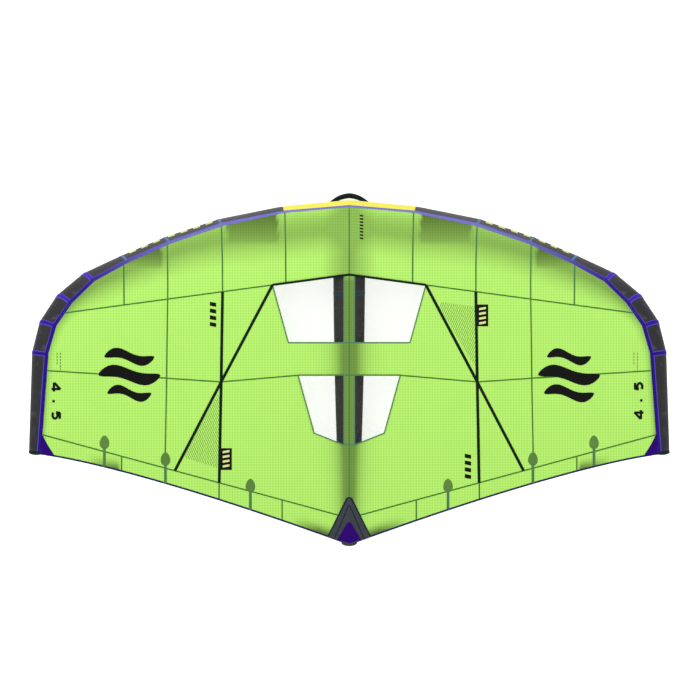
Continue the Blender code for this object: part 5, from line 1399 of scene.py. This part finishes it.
@dataclass
class Seams:
    """Seam tapes, window hems, load straps and the trailing edge tape."""

    canopy: Canopy
    draper: Draper
    seam_width: float = 0.0070
    centre_width: float = 0.0048
    hem_width: float = 0.0062
    strap_width: float = 0.0145
    window_strap_width: float = 0.0115
    edge_width: float = 0.0095
    hem_half: float = 0.0011
    strap_half: float = 0.0016
    window_strap_half: float = 0.0015
    edge_half: float = 0.0012
    edge_overhang: float = 0.0005
    edge_margin: float = 0.03
    margin: float = 0.004
    trailing_start: float = 0.058
    centre_end_y: float = -0.70

    def spanwise(self, curve: Callable, start: float, end: float) -> list:
        """Plan path along a seam between span positions, through its bends."""
        bends = [share * self.canopy.shape.plan.half_span for share, _ in self.canopy.middle_seam]
        inside = [x for x in bends if start < x < end] if curve is self.canopy.middle else []
        return [on(curve, x) for x in (start, *inside, end)]

    def ahead(self, x: float) -> tuple:
        """The start of a seam just behind the leading edge."""
        return (x, float(self.canopy.shape.leading_y(x)) - self.margin)

    def tail(self, x: float) -> tuple:
        """The end of a seam just ahead of the trailing edge."""
        return (x, float(self.canopy.shape.trailing_y(x)) + self.margin)

    def lines(self) -> list:
        """Every seam of the right half as plan paths."""
        c, s = self.canopy, self.canopy.shape
        front, middle, trailing = c.front, c.middle, c.trailing
        return [
            self.spanwise(front, c.front_top, s.meeting(front) - self.margin),
            self.spanwise(middle, 0.0, s.meeting(middle) - self.margin),
            self.spanwise(trailing, self.trailing_start, s.meeting(trailing) - self.margin),
            [self.ahead(1.1362), on(front, 1.1342)],
            [self.ahead(0.9168), (0.9145, 0.427), on(front, 0.9150), (0.9201, float(middle(0.92))),
             on(trailing, 0.9283), self.tail(0.9293)],
            [self.ahead(0.6445), (0.6386, 0.543), on(front, 0.6380)],
            [on(trailing, 0.6556), self.tail(0.6560)],
            [self.ahead(0.3245), (0.3207, 0.604), on(front, 0.3192)],
            [on(trailing, 1.1471), self.tail(1.1471)],
            [on(trailing, 0.3383), self.tail(0.3383)],
        ]

    def hems(self) -> list:
        """The edges of the right half's windows as plan paths."""
        c = self.canopy
        edge, fore, aft = c.window_edge - self.hem_width / 2, c.front_foot[1], c.rear_foot_y
        return [
            [on(c.front, c.front_top), c.front_foot, (edge, fore), (0.0, fore)],
            [on(c.front, edge), (edge, fore)],
            [on(c.middle, c.rear_top), c.rear_corner, (edge, aft), (0.0, aft)],
            [on(c.middle, edge), (edge, aft)],
        ]

    def straps(self) -> list:
        """Load straps of the right half: one down the chord and one slanting across it."""
        c = self.canopy
        crossing = on(c.middle, 0.6452)
        return [
            [on(c.front, 0.6382), crossing, on(c.trailing, 0.6550)],
            [on(c.front, c.front_top), crossing, on(c.trailing, 0.8787)],
        ]

    def build(self) -> None:
        """Make one piece for each kind of tape."""
        c, s, d = self.canopy, self.canopy.shape, self.draper
        # painted shade: tapes on the cloth take their bluer colour where the cloth's painted shade lies
        tone = {"tone": c.shade}
        width = self.seam_width
        lines = [d.tape(line, width, side=side, values=tone) for line in self.lines() for side in Side]
        centre = [self.ahead(0.0), (0.0, self.centre_end_y)]
        lines.append(d.tape(centre, self.centre_width, values=tone))
        Skin.joined(lines).piece("canopy_seam_tapes", SEAM_TAPE, "canopy_ripstop")
        half = self.hem_half
        hems = [d.tape(line, self.hem_width, half, half, side, tone) for line in self.hems() for side in Side]
        Skin.joined(hems).piece("window_hems", HEM_TAPE, "canopy_ripstop")
        half = self.strap_half
        straps = [d.tape(line, self.strap_width, half, half, side) for line in self.straps() for side in Side]
        top = [on(c.front, x) for x in (-c.front_top, 0.0, c.front_top)]
        straps.append(d.tape(top, self.window_strap_width, self.window_strap_half, self.window_strap_half))
        Skin.joined(straps).piece("load_straps", LOAD_STRAP, "webbing_black")
        x = np.linspace(0.0, s.tip_x - self.edge_margin, 60)
        edge = np.stack([x, s.trailing_y(x) + self.edge_width / 2 - self.edge_overhang], axis=1)
        tapes = [d.tape(edge, self.edge_width, self.edge_half, self.edge_half, side) for side in Side]
        Skin.joined(tapes).piece("trailing_edge_tape", EDGE_TAPE, "canopy_ripstop")


@dataclass
class Patches:
    """Corner and end patches, batten pockets and their stops."""

    canopy: Canopy
    draper: Draper
    batten_x: tuple = (0.4978, 0.9260, 1.2334)
    stop_y: tuple = (-0.5835, -0.4495, -0.3655)
    pocket_width: float = 0.0137
    pocket_depths: tuple = (0.0012, 0.0048)
    pocket_lead: float = 0.028
    stop_half: tuple = (0.0248, 0.0352)
    stop_egg: float = -0.18
    end_apex_y: float = -0.642
    end_half: float = 0.111
    end_insets: tuple = ((0.003, 0.006), (0.036, 0.0045))
    line_half: float = 0.0021
    tip_top_y: float = -0.325
    tip_inner_x: float = 1.480
    tip_bow: tuple = (0.006, 0.004)
    tip_half: float = 0.0014

    def tips(self) -> None:
        """Three-cornered patches where the canopy's corners meet the tube."""
        s = self.canopy.shape
        share = np.linspace(0, 1, 14)[:, None]
        skins = []
        for side in Side:
            top = np.array((float(s.leading_x(self.tip_top_y)) - 0.001, self.tip_top_y))
            inner = np.array(on(s.trailing_y, self.tip_inner_x)) + (0.0, 0.0005)
            outer = np.array((s.tip_x - 0.001, s.tip_y + 0.003))
            left = top + share * (inner - top) + np.sin(share * math.pi) * np.array(self.tip_bow)
            right = top + np.array((0.0008, 0.0)) + share * (outer - top)
            left, right = left * side.mirror[:2], right * side.mirror[:2]
            skins.append(self.draper.box(left, right, self.tip_half, self.tip_half, 5))
        Skin.joined(skins).piece("tip_corner_patches", VIOLET_PATCH, "webbing_black")

    def end(self, apex_y: float, apex_half: float, foot_half: float, lift: float, name: str,
            finish: Finish, short: float = 0.0) -> None:
        """A patch over the strut's end that widens from a round apex to near the trailing edge.

        Args:
            apex_y: plan position of the apex.
            apex_half: half its width at the apex.
            foot_half: half its width at the foot.
            lift: how far it stands over and under the cloth's middle.
            name: the piece's name.
            finish: its finish.
            short: how far the middle of its foot stays ahead of the sides.
        """
        s = self.canopy.shape
        x = np.linspace(-1, 1, 25)
        top = np.stack([apex_half * x, apex_y - 0.35 * apex_half * x**2], axis=1)
        foot = np.stack([foot_half * x, s.trailing_y(foot_half * x) + 0.0008 + short * (1 - x**2)], axis=1)
        self.draper.box(top, foot, lift, lift, 14).piece(name, finish, "webbing_black")

    def end_lines(self) -> None:
        """Stitched reinforcing lines that run inside both edges of the end patch."""
        s = self.canopy.shape
        skins = []
        for side in Side:
            for inset, width in self.end_insets:
                foot_x = self.end_half - inset
                path = [(0.013 - 0.3 * inset, self.end_apex_y - 0.008 - 0.9 * inset),
                        (foot_x, float(s.trailing_y(foot_x)) + 0.003)]
                skins.append(self.draper.tape(path, width, self.line_half, self.line_half, side))
        bow = np.linspace(-1, 1, 13)
        arc = np.stack([0.0128 * bow, self.end_apex_y - 0.0025 - 0.0065 * bow**2], axis=1)
        skins.append(self.draper.tape(arc, 0.006, self.line_half, self.line_half))
        Skin.joined(skins).piece("end_patch_lines", PATCH_BINDING, "webbing_black")

    def pockets(self) -> None:
        """Pocket strips from each stop to the trailing edge, with a sleeve for the batten underneath."""
        s = self.canopy.shape
        strips, stops = [], []
        for side in Side:
            for x, y in zip(self.batten_x, self.stop_y):
                line = [(x, y - self.pocket_lead), (x, float(s.trailing_y(x)) + 0.001)]
                strips.append(self.draper.tape(line, self.pocket_width, *self.pocket_depths, side))
                stops.append(self.draper.disc((x * side.value, y), *self.stop_half, self.stop_egg))
        nodes = [f"batten_{n}_{side.word}" for n in (1, 2, 3) for side in Side]
        Skin.joined(strips).piece("batten_pockets", POCKET_CLOTH, "canopy_ripstop", replaces=nodes)
        Skin.joined(stops).piece("batten_stops", STOP_CLOTH, "canopy_ripstop")

    def build(self) -> None:
        """Make every patch."""
        self.tips()
        self.end(self.end_apex_y, 0.016, self.end_half, 0.0017, "strut_end_patch", SLATE_PATCH)
        self.end(-0.768, 0.010, 0.062, 0.0024, "strut_end_violet_patch", VIOLET_PATCH, 0.007)
        self.end_lines()
        self.pockets()


@dataclass
class Prints:
    """Plain prints: wave motif, size figures, hatched triangles, dash rows and black labels."""

    canopy: Canopy
    draper: Draper
    motif_middle: tuple = (1.108, -0.0265)
    waves: tuple = ((0.25, 0.060, 0.092), (0.31, 0.074, 0.0), (0.22, 0.054, -0.092))
    wave_height: float = 0.020
    wave_taper: float = 0.55
    figure_x: tuple = (1.478, 1.460)
    figure_size: float = 0.046
    stroke: float = 0.0125
    hatch_step: float = 0.0098
    hatch_width: float = 0.0018
    fine_width: float = 0.0032
    fine_step: float = 0.016
    fine_dash: float = 0.012
    fine_top_y: float = 0.087
    ink: tuple = (0.0008, -0.0002)
    thin_ink: tuple = (0.0007, -0.0002)
    motif_ink: tuple = (0.0014, -0.0002)
    dash_ink: tuple = (0.0012, -0.0006)

    def wave(self, middle: Sequence, turn: int, length: float, thickness: float, lift: float) -> Skin:
        """One wave band: a sine along its length, its thickness swelling from nothing at both ends.

        Args:
            middle: plan point of the motif's middle.
            turn: minus one for half a turn.
            length: the band's length.
            thickness: its greatest thickness.
            lift: how far it lies from the motif's middle.

        Returns:
            The band.
        """
        share = np.linspace(0, 1, 34)
        x = (share - 0.5) * length
        y = lift + self.wave_height * np.sin(2 * math.pi * share)
        half = thickness / 2 * np.sin(math.pi * np.clip(share, 0.004, 0.996)) ** self.wave_taper
        left = np.stack([x - half * 0.5, y + half], axis=1) * turn + middle
        right = np.stack([x + half * 0.5, y - half], axis=1) * turn + middle
        return self.draper.box(left, right, *self.motif_ink, 4)

    def motif(self) -> None:
        """Three stacked waves on each half, half a turn apart."""
        skins = []
        for sign, turn in ((-1, 1), (1, -1)):
            middle = np.array((self.motif_middle[0] * sign, self.motif_middle[1]))
            for wave in self.waves:
                skins.append(self.wave(middle, turn, *wave))
        Skin.joined(skins).piece("wave_motif_prints", PRINT, "canopy_ripstop")

    def figure(self, strokes: Sequence, middle: Array, turn: int) -> list:
        """Strokes in a unit box, turned a quarter so that they read down the wing.

        Args:
            strokes: paths in the box.
            middle: plan point of the box's middle.
            turn: minus one for half a turn.

        Returns:
            A band for each stroke.
        """
        size = self.figure_size
        skins = []
        for stroke in strokes:
            flat = (np.array(stroke, float) - 0.5) * size
            placed = np.stack([flat[:, 1], -flat[:, 0]], axis=1) * turn + middle
            line = resample(placed, 0.006)
            reach = self.stroke / 2 * mitres(line)[0]
            skins.append(self.draper.box(line + reach, line - reach, *self.ink))
        return skins

    def figures(self) -> None:
        """The plain size figures 4.5 near each tip."""
        four = (((0.72, 0.0), (0.72, 1.0)), ((0.76, 1.0), (0.02, 0.30)), ((0.0, 0.28), (1.0, 0.28)))
        turns = np.linspace(-0.9, math.pi + 0.8, 16)
        bowl = [(0.46 + 0.38 * math.sin(a), 0.40 + 0.27 * math.cos(a)) for a in turns]
        five = (((0.88, 0.92), (0.20, 0.92)), ((0.23, 0.98), (0.16, 0.50)), bowl)
        dot = (((0.37, 0.24), (0.65, 0.24)),)
        skins = []
        for sign, turn, middle in ((-1, 1, self.figure_x[0]), (1, -1, self.figure_x[1])):
            for figure, place in ((four, 0.0), (dot, -0.071), (five, -0.143)):
                y = -0.087 + (place if turn == 1 else -0.139 - place)
                x = sign * middle
                skins += self.figure(figure, np.array((x, y)), turn)
        Skin.joined(skins).piece("size_figure_prints", PRINT, "canopy_ripstop")

    def hatch(self) -> None:
        """Thin slanted lines that fill the triangle between the two load straps, left aft and right fore."""
        skins = []
        for corners, lean in (
            (np.array(((-0.652, -0.105), (-0.657, -0.497), (-0.842, -0.440))), 0.42),
            (np.array(((0.640, 0.318), (0.646, -0.004), (0.438, 0.345))), -0.42),
        ):
            normal = np.array((0.91, lean))
            reach = corners @ normal
            for offset in np.arange(reach.min() + self.hatch_step, reach.max(), self.hatch_step):
                hits = []
                for a, b in zip(corners, np.roll(corners, -1, axis=0)):
                    first, second = a @ normal - offset, b @ normal - offset
                    if first * second < 0:
                        hits.append(a + (b - a) * first / (first - second))
                if len(hits) == 2 and np.linalg.norm(hits[1] - hits[0]) > 0.02:
                    skins.append(self.draper.tape(hits, self.hatch_width, *self.thin_ink))
        Skin.joined(skins).piece("hatch_prints", FINE_PRINT, "canopy_ripstop")

    def labels(self) -> None:
        """Black labels with plain lime dashes, and short rows of black dashes."""
        boxes, dashes, rows = [], [], []
        for middle, turn in (((-0.6205, -0.450), 1), ((0.6717, 0.274), -1)):
            box = ((-0.029, 0.055), (-0.029, -0.055), (0.029, -0.055), (0.029, 0.055))
            boxes.append(self.draper.quad(box, *self.ink, middle, turn))
            for y in (0.036, 0.012, -0.012, -0.036):
                dash = ((-0.017, y + 0.004), (-0.017, y - 0.007), (0.017, y - 0.001), (0.017, y + 0.010))
                dashes.append(self.draper.quad(dash, *self.dash_ink, middle, turn))
        for middle, turn in (((-0.6865, 0.279), 1), ((0.5985, -0.487), -1)):
            for y in (0.052, 0.018, -0.016, -0.050):
                dash = ((-0.016, y + 0.012), (-0.016, y - 0.008), (0.016, y - 0.014), (0.016, y + 0.006))
                rows.append(self.draper.quad(dash, *self.ink, middle, turn))
        for y in np.linspace(0.778, 0.664, 8):
            dash = ((-0.009, y + 0.004), (-0.009, y - 0.004), (0.009, y - 0.007), (0.009, y + 0.001))
            rows.append(self.draper.quad(dash, *self.ink, (0.0625, 0.0)))
        Skin.joined(boxes + rows).piece("label_prints", PRINT, "canopy_ripstop")
        Skin.joined(dashes).piece("label_dash_prints", LIME_PRINT, "canopy_ripstop")

    def fine(self) -> None:
        """Two broken hairlines near each tip."""
        skins = []
        for side, columns in ((Side.LEFT, (1.455, 1.472)), (Side.RIGHT, (1.452, 1.435))):
            for x, length in zip(columns, (0.088, 0.064)):
                for start in np.arange(0.0, length, self.fine_step):
                    end = min(start + self.fine_dash, length)
                    line = [(x, self.fine_top_y - start), (x, self.fine_top_y - end)]
                    skins.append(self.draper.tape(line, self.fine_width, *self.thin_ink, side))
        Skin.joined(skins).piece("fine_line_prints", FINE_PRINT, "canopy_ripstop")

    def build(self) -> None:
        """Make every print."""
        self.motif()
        self.fine()
        self.figures()
        self.hatch()
        self.labels()


@dataclass
class Strut:
    """The centre strut: three sewn casings, the bands over their seams and its domed end."""

    canopy: CanopyShape
    shape: StrutShape
    sides: int = 64
    band_width: float = 0.020
    band_shifts: tuple = (-0.001, 0.006)
    band_edge: float = 0.0006
    band_lifts: tuple = (-0.0003, 0.0007, 0.0007, 0.0007, 0.0007, 0.0007, -0.0003)
    ring_step: float = 0.015
    groove: float = 0.0009
    groove_reach: float = 0.006
    rim: float = 0.004
    setback: float = 0.012
    girth_radius: float = 0.075
    dome_turns: tuple = (0.0, 14, 28, 42, 55, 67, 78, 86)

    def rings(self, y: Array, offset: Length) -> Array:
        """Grid of rings at places along the strut."""
        angle = round_angles(self.sides)
        places = np.broadcast_to(y[:, None], (len(y), self.sides))
        depth = np.broadcast_to(np.asarray(offset).reshape(-1, 1), places.shape)
        return self.shape.surface(self.canopy, places, np.broadcast_to(angle, places.shape), depth)

    @property
    def girth(self) -> Array:
        """Metres round the strut at each side of a ring, at its usual radius."""
        return np.linspace(0, 2 * math.pi, self.sides + 1) * self.girth_radius

    def casing(self, start: float, end: float) -> Array:
        """Rings from one seam to the next, dipping at both and turned in at the ends."""
        y = np.linspace(start, end, max(8, math.ceil((start - end) / self.ring_step)))
        y = np.unique(np.concatenate([y, [start - 0.003, start - 0.007, end + 0.003, end + 0.007]]))[::-1]
        away = np.minimum(start - y, y - end)
        depth = -self.groove * np.exp(-((away / self.groove_reach) ** 2))
        y = np.concatenate([[start], y, [end]])
        return self.rings(y, np.concatenate([[-self.rim], depth, [-self.rim]]))

    def dome(self) -> Array:
        """The rounded aft end: rings shrinking with the cosine of a turn while they go aft with its sine."""
        end = self.shape.plan.aft_y + self.shape.dome
        turn = np.radians(self.dome_turns)
        angle = round_angles(self.sides)
        centre = self.shape.centre(self.canopy, np.array(end))
        radius = float(self.shape.radius_at(end)) * self.shape.fit
        reach = radius * np.cos(turn)[:, None]
        back = np.broadcast_to((-self.shape.dome * np.sin(turn))[:, None], (len(turn), self.sides))
        return centre + np.stack([reach * np.cos(angle), back, reach * np.sin(angle)], axis=2)

    def build(self) -> None:
        """Make the casings and bands."""
        plan, shape = self.shape.plan, self.shape
        seams = [plan.front_y - share * plan.root_chord for share in shape.seam_shares]
        start = plan.front_y - shape.start_share * plan.root_chord - self.setback
        end = plan.aft_y + shape.dome
        ends = [start, *seams, end]
        for name, first, last in zip(("front", "middle", "rear"), ends[:-1], ends[1:]):
            points = self.casing(first, last)
            if name == "rear":
                points = np.concatenate([points[:-2], self.dome()])
            uv = grid_of(run_along(points[:, 0]), self.girth)
            skin = Skin.grid(points, uv, wrap=True, caps=name == "rear")
            skin.piece(f"strut_{name}_cover", STRUT_CLOTH, "dacron_grey", replaces=[f"strut_{name}_casing"])
        bands = []
        for seam, shift in zip(seams, self.band_shifts):
            half, edge = self.band_width / 2, self.band_edge
            y = seam + shift + np.array((half, half - edge, half / 2, 0, -half / 2, edge - half, -half))
            points = self.rings(y, self.band_lifts)
            uv = grid_of(np.linspace(0, 1, len(y)), self.girth)[..., ::-1]
            bands.append(Skin.grid(points, uv, wrap=True))
        Skin.joined(bands).piece("strut_seam_bands", STRUT_BAND, "dacron_grey")


def swept(centres: Array, level: Array, across: Array, half_level: Array,
          half_across: Array, sides: int, power: float = 2.0) -> Skin:
    """A closed bar: a rounded profile carried along a path.

    Args:
        centres: (n, 3) points of the path.
        level: (n, 3) direction of the profile's first axis at each point.
        across: (n, 3) direction of its second axis.
        half_level: (n) half size along the first axis.
        half_across: (n) half size along the second axis.
        sides: how many points round it.
        power: 2 for an ellipse, more for a squarer profile.

    Returns:
        The bar, with metres along and round it as its UV map.
    """
    angle = round_angles(sides)
    shape_u = np.sign(np.cos(angle)) * np.abs(np.cos(angle)) ** (2 / power)
    shape_v = np.sign(np.sin(angle)) * np.abs(np.sin(angle)) ** (2 / power)
    points = (centres[:, None] + half_level[:, None, None] * shape_u[:, None] * level[:, None]
              + half_across[:, None, None] * shape_v[:, None] * across[:, None])
    along = run_along(centres)
    uv = grid_of(along, np.linspace(0, 1, sides + 1))
    return Skin.grid(points, uv, wrap=True, caps=True)


@dataclass
class NoseHandle:
    """The padded webbing handle on the front of the leading edge, its flat ends sewn down."""

    tube: TubeShape
    facet: int = -3
    half_width: float = 0.098
    pad: float = 0.022
    webbing: float = 0.004
    width: float = 0.027
    sewn: float = 0.055
    reach: float = 0.033
    arch_power: float = 1.3
    rings: int = 121
    sides: int = 28
    profile_power: float = 2.8

    def build(self) -> None:
        """Carry a rounded profile along the arch that the CAD handle has."""
        plan = self.tube.plan
        angle = self.tube.facet_angle(self.facet)
        fit = self.tube.facet_fit
        end = self.half_width + self.sewn
        x = np.linspace(-end, end, self.rings)
        share = np.clip(np.abs(x) / self.half_width, 0, 1)
        offset = np.full(1, plan.gap + self.pad / 2)
        point, normal = self.tube.middle(np.zeros(1), angle, offset, fit)
        depth = math.hypot(self.pad / 2 * normal[0][1], self.width / 2 * normal[0][2])
        arch = (plan.front_y + self.reach - depth - point[0][1]) / normal[0][1]
        thick = self.webbing + (self.pad - self.webbing) * np.sqrt(1 - share**2)
        rise = arch * (1 - share**2) ** self.arch_power
        centres, normals = self.tube.middle(x, angle, plan.gap + thick / 2 + rise, fit)
        tangents = unit(np.gradient(centres, axis=0))
        level = unit(np.cross(normals, tangents))
        across = np.cross(tangents, level)
        half = np.full(len(x), self.width / 2)
        skin = swept(centres, level, across, half, thick / 2, self.sides, self.profile_power)
        handle = skin.piece("nose_handle_padded", WEBBING, "webbing_black", replaces=["nose_handle"])


@dataclass
class Grips:
    """Foam covered grips under the strut, with moulded collars at their feet."""

    canopy: CanopyShape
    strut: StrutShape
    centre_shares: tuple = (0.315, 0.595)
    spread: float = 0.300
    drop: float = 0.074
    width: float = 0.030
    depth: float = 0.026
    corner: float = 0.028
    swell: float = 0.12
    foot: float = 0.0153
    sides: int = 28
    profile_power: float = 2.3
    ridge_depth: float = 0.022
    ridge_pitch: float = 0.006
    collar_heights: tuple = (0.0302, 0.0307, 0.0322, 0.0352, 0.0367, 0.0372)
    collar_radii: tuple = (0.0150, 0.0172, 0.0180, 0.0180, 0.0172, 0.0150)
    collar_flat: float = 0.93

    def path(self) -> Array:
        """(along, out) down the middle of a grip: a foot, a quarter turn, the bar, and the same back."""
        bar = self.drop - self.depth / 2
        turn = np.linspace(0, math.pi / 2, 13)
        reach = self.spread / 2 - self.corner
        up = np.linspace(self.foot, bar - self.corner - 0.001, 4)
        rise = np.stack([np.full(4, -self.spread / 2), up], axis=1)
        bend = np.stack([-self.spread / 2 + self.corner * (1 - np.cos(turn)),
                         bar - self.corner + self.corner * np.sin(turn)], axis=1)
        straight = np.stack([np.linspace(-reach, reach, 62)[1:-1], np.full(60, bar)], axis=1)
        back = np.concatenate([rise, bend])[::-1] * np.array((-1.0, 1.0))
        return np.concatenate([rise, bend, straight, back])

    def build(self) -> None:
        """Make both grips."""
        plan = self.strut.plan
        path = self.path()
        tangent = unit(np.gradient(path, axis=0))
        for name, share in zip(("front", "rear"), self.centre_shares):
            y = plan.front_y - share * plan.root_chord
            ends = np.array((y + self.spread / 2, y - self.spread / 2))
            low = self.strut.centre(self.canopy, ends) - self.strut.radius_at(ends)[:, None] * UP
            along = unit(low[0] - low[1])
            out = np.cross(along, RIGHT_WAY)
            middle = low.mean(axis=0)
            centres = middle + path[:, :1] * along + path[:, 1:] * out
            side = tangent[:, 1:] * along - tangent[:, :1] * out
            bar = np.clip(1 - np.abs(path[:, 0]) / (self.spread / 2 - self.corner), 0, 1)
            waves = np.sin(path[:, 0] * math.pi / self.ridge_pitch) ** 8
            ridges = 1 - self.ridge_depth * waves * (bar > 0.04)
            swell = (1 + self.swell * np.sin(bar * math.pi / 2)) * ridges
            level = np.broadcast_to(RIGHT_WAY, centres.shape)
            halves = self.width / 2 * swell, self.depth / 2 * ridges
            skin = swept(centres, level, side, *halves, self.sides, self.profile_power)
            skin.piece(f"{name}_grip_foam", FOAM, "grip_foam", replaces=[f"{name}_grip"])
            collars = []
            for place in (-1, 1):
                heights, radii = np.array(self.collar_heights), np.array(self.collar_radii)
                stack = middle + place * self.spread / 2 * along + heights[:, None] * out
                level, lengthwise = (np.broadcast_to(way, stack.shape) for way in (RIGHT_WAY, along))
                collars.append(swept(stack, level, lengthwise, radii, radii * self.collar_flat, self.sides))
            Skin.joined(collars).piece(f"{name}_grip_collars", NYLON, "moulded_black")


@dataclass
class Zip:
    """The bladder's zip under the left half of the middle panel: a knitted tape and a nylon coil."""

    tube: TubeShape
    facet: int = 2
    start_share: float = 0.16
    end_share: float = 0.92
    seat: float = 0.0005
    tape_half: tuple = (0.013, 0.00045)
    coil_half: tuple = (0.0029, 0.00062)
    pitch: float = 0.003
    tape_bar: tuple = (0.004, 20, 8.0, 0.0)
    coil_bar: tuple = (0.0005, 12, 2.4, 0.3)

    def bar(self, half: tuple, base: float, step: float, sides: int, power: float, turns: float) -> Skin:
        """A bar along the zip's line.

        Args:
            half: half its width and half its height.
            base: height of its underside over the tube's facet.
            step: spacing of its rings.
            sides: points round it.
            power: roundness of its profile.
            turns: share by which each turn of the coil narrows it.

        Returns:
            The bar, its half sizes multiplied by 1 - turns times the squared sine of the run over the pitch.
        """
        inner = self.tube.axis[1][0]
        count = math.ceil((self.end_share - self.start_share) * inner / step)
        x = -inner * np.linspace(self.start_share, self.end_share, count)
        angle = self.tube.facet_angle(self.facet)
        fit = self.tube.facet_fit
        centres, normals = self.tube.middle(x, angle, np.full(len(x), base + half[1]), fit)
        tangents = unit(np.gradient(centres, axis=0))
        level = unit(np.cross(normals, tangents))
        wave = 1 - turns * np.sin(math.pi * x / self.pitch) ** 2
        return swept(centres, level, np.cross(tangents, level), half[0] * wave, half[1] * wave, sides, power)

    def build(self) -> None:
        """Make the tape and the coil."""
        tape = self.bar(self.tape_half, self.seat, *self.tape_bar)
        tape.piece("bladder_zip_tape", ZIP_TAPE, "webbing_black", replaces=["bladder_zip"])
        coil = self.bar(self.coil_half, self.seat + 2 * self.tape_half[1], *self.coil_bar)
        coil.piece("bladder_zip_coil", ZIP_COIL, "webbing_black")


@dataclass
class Fittings:
    """CAD nodes that keep their shape and get a finish."""

    finishes: dict = field(default_factory=lambda: {
        NYLON: ("front_grip_front_bracket", "front_grip_rear_bracket", "rear_grip_front_bracket",
                "rear_grip_rear_bracket", "valve_plug", "valve_cap", "hose_clip_base", "hose_clip_lever"),
        RUBBER: ("valve_body", "valve_poppet", "leading_edge_hose_fitting", "strut_hose_fitting", "air_hose"),
        ZINC: ("zip_slider", "zip_pull"),
        BLADDER: ("leading_edge_bladder", "strut_bladder"),
    })

    def build(self) -> None:
        """Give each kept node its material."""
        for finish, names in self.finishes.items():
            for name in names:
                mesh = frame["nodes"][name].data
                mesh.materials.clear()
                mesh.materials.append(finish.material())
                log.info("%s: %s", name, finish.name)


@dataclass
class Studio:
    """Pale floor, soft light and a camera straight above, as the photograph was taken."""

    picture_px: int = 700
    middle: tuple = (0.0040, 0.0997)
    ambient: float = 0.955
    key_watts: float = 50.0
    key_size: float = 4.0
    key_place: tuple = (-2.0, 2.4, 4.2)
    key_aim: tuple = (0.0, 0.0, 0.3)
    floor_half: float = 14.0
    floor_grey: float = 0.85
    floor_glow: float = 0.72
    camera_height: float = 6.0
    clip_end: float = 60.0

    @staticmethod
    def seen(add: Adder) -> Socket:
        """1 for the camera, reflections and what see-through film shows, and 0 for the light."""
        path = add("LightPath").node.outputs
        seen = worked(add, "MAXIMUM", path["Is Camera Ray"], path["Is Glossy Ray"])
        return worked(add, "MAXIMUM", seen, path["Is Transmission Ray"])

    def floor(self) -> None:
        """A wide pale floor whose shadow stays faint, as in a cut-out picture.

        The camera, reflections and see-through film get a glow added to the floor's own light.
        """
        rows = np.linspace(-self.floor_half, self.floor_half, 5)
        plan = grid_of(rows, rows)
        floor = Skin.grid(np.concatenate([plan, 0 * plan[..., :1]], axis=2), plan).bare("floor")
        material = bpy.data.materials.new("floor_matt_white")
        material.use_nodes = True
        tree = material.node_tree
        tree.nodes.clear()
        add = partial(add_node, tree)
        matt = add("BsdfDiffuse", {"Color": (*[self.floor_grey] * 3, 1)})
        glow, none = (add("Emission", {"Strength": strength}) for strength in (self.floor_glow, 0.0))
        chosen = add("MixShader", (self.seen(add), none, glow))
        add("OutputMaterial", {"Surface": add("AddShader", (matt, chosen))})
        floor.data.materials.append(material)

    def light(self) -> None:
        """Even light from all round, white to the eye, and one large soft lamp above the front left."""
        world = bpy.data.worlds.new("studio")
        bpy.context.scene.world = world
        world.use_nodes = True
        tree = world.node_tree
        add = partial(add_node, tree)
        strength = add("MapRange", {"Value": self.seen(add), "To Min": self.ambient, "To Max": 1.0})
        feed(tree.nodes["Background"], {"Color": (1, 1, 1, 1), "Strength": strength})
        lamp = bpy.data.lights.new("softbox", "AREA")
        lamp.shape, lamp.size, lamp.energy = "SQUARE", self.key_size, self.key_watts
        key = new_object("softbox", lamp)
        key.location = self.key_place
        aim = np.array(self.key_aim) - self.key_place
        key.rotation_euler = (math.atan2(float(np.hypot(aim[0], aim[1])), -float(aim[2])), 0,
                              math.atan2(float(-aim[0]), float(aim[1])))

    def camera(self) -> None:
        """A camera without perspective straight above, one picture width across."""
        data = bpy.data.cameras.new("camera")
        data.type = "ORTHO"
        data.ortho_scale = self.picture_px * METRES_PER_PX
        data.clip_end = self.clip_end
        camera = new_object("camera", data)
        camera.location = (*self.middle, self.camera_height)
        bpy.context.scene.camera = camera

    def build(self) -> None:
        """Make the studio."""
        self.camera()
        self.floor()
        self.light()
        bpy.context.scene.view_settings.view_transform = "Standard"


def dip_lines(canopy: Canopy) -> tuple:
    """The seams that the cloth dips at, as plan paths of the right half."""
    seams = Seams(canopy, Draper(canopy.shape))
    return tuple(tuple(map(tuple, line)) for line in seams.lines())


def main() -> None:
    """Build every sub-assembly in order."""
    Studio().build()
    plan = Plan()
    tube = TubeShape(plan)
    strut = StrutShape(plan)
    shape = CanopyShape(plan, tube, strut)
    canopy = Canopy(shape)
    shape.dip_lines = dip_lines(canopy)
    draper = Draper(shape)
    LeadingEdge(tube, shape).build()
    canopy.build()
    Seams(canopy, draper).build()
    Patches(canopy, draper).build()
    Prints(canopy, draper).build()
    Strut(shape, strut).build()
    NoseHandle(tube).build()
    Grips(shape, strut).build()
    Zip(tube).build()
    Fittings().build()


if __name__ == "__main__":
    main()
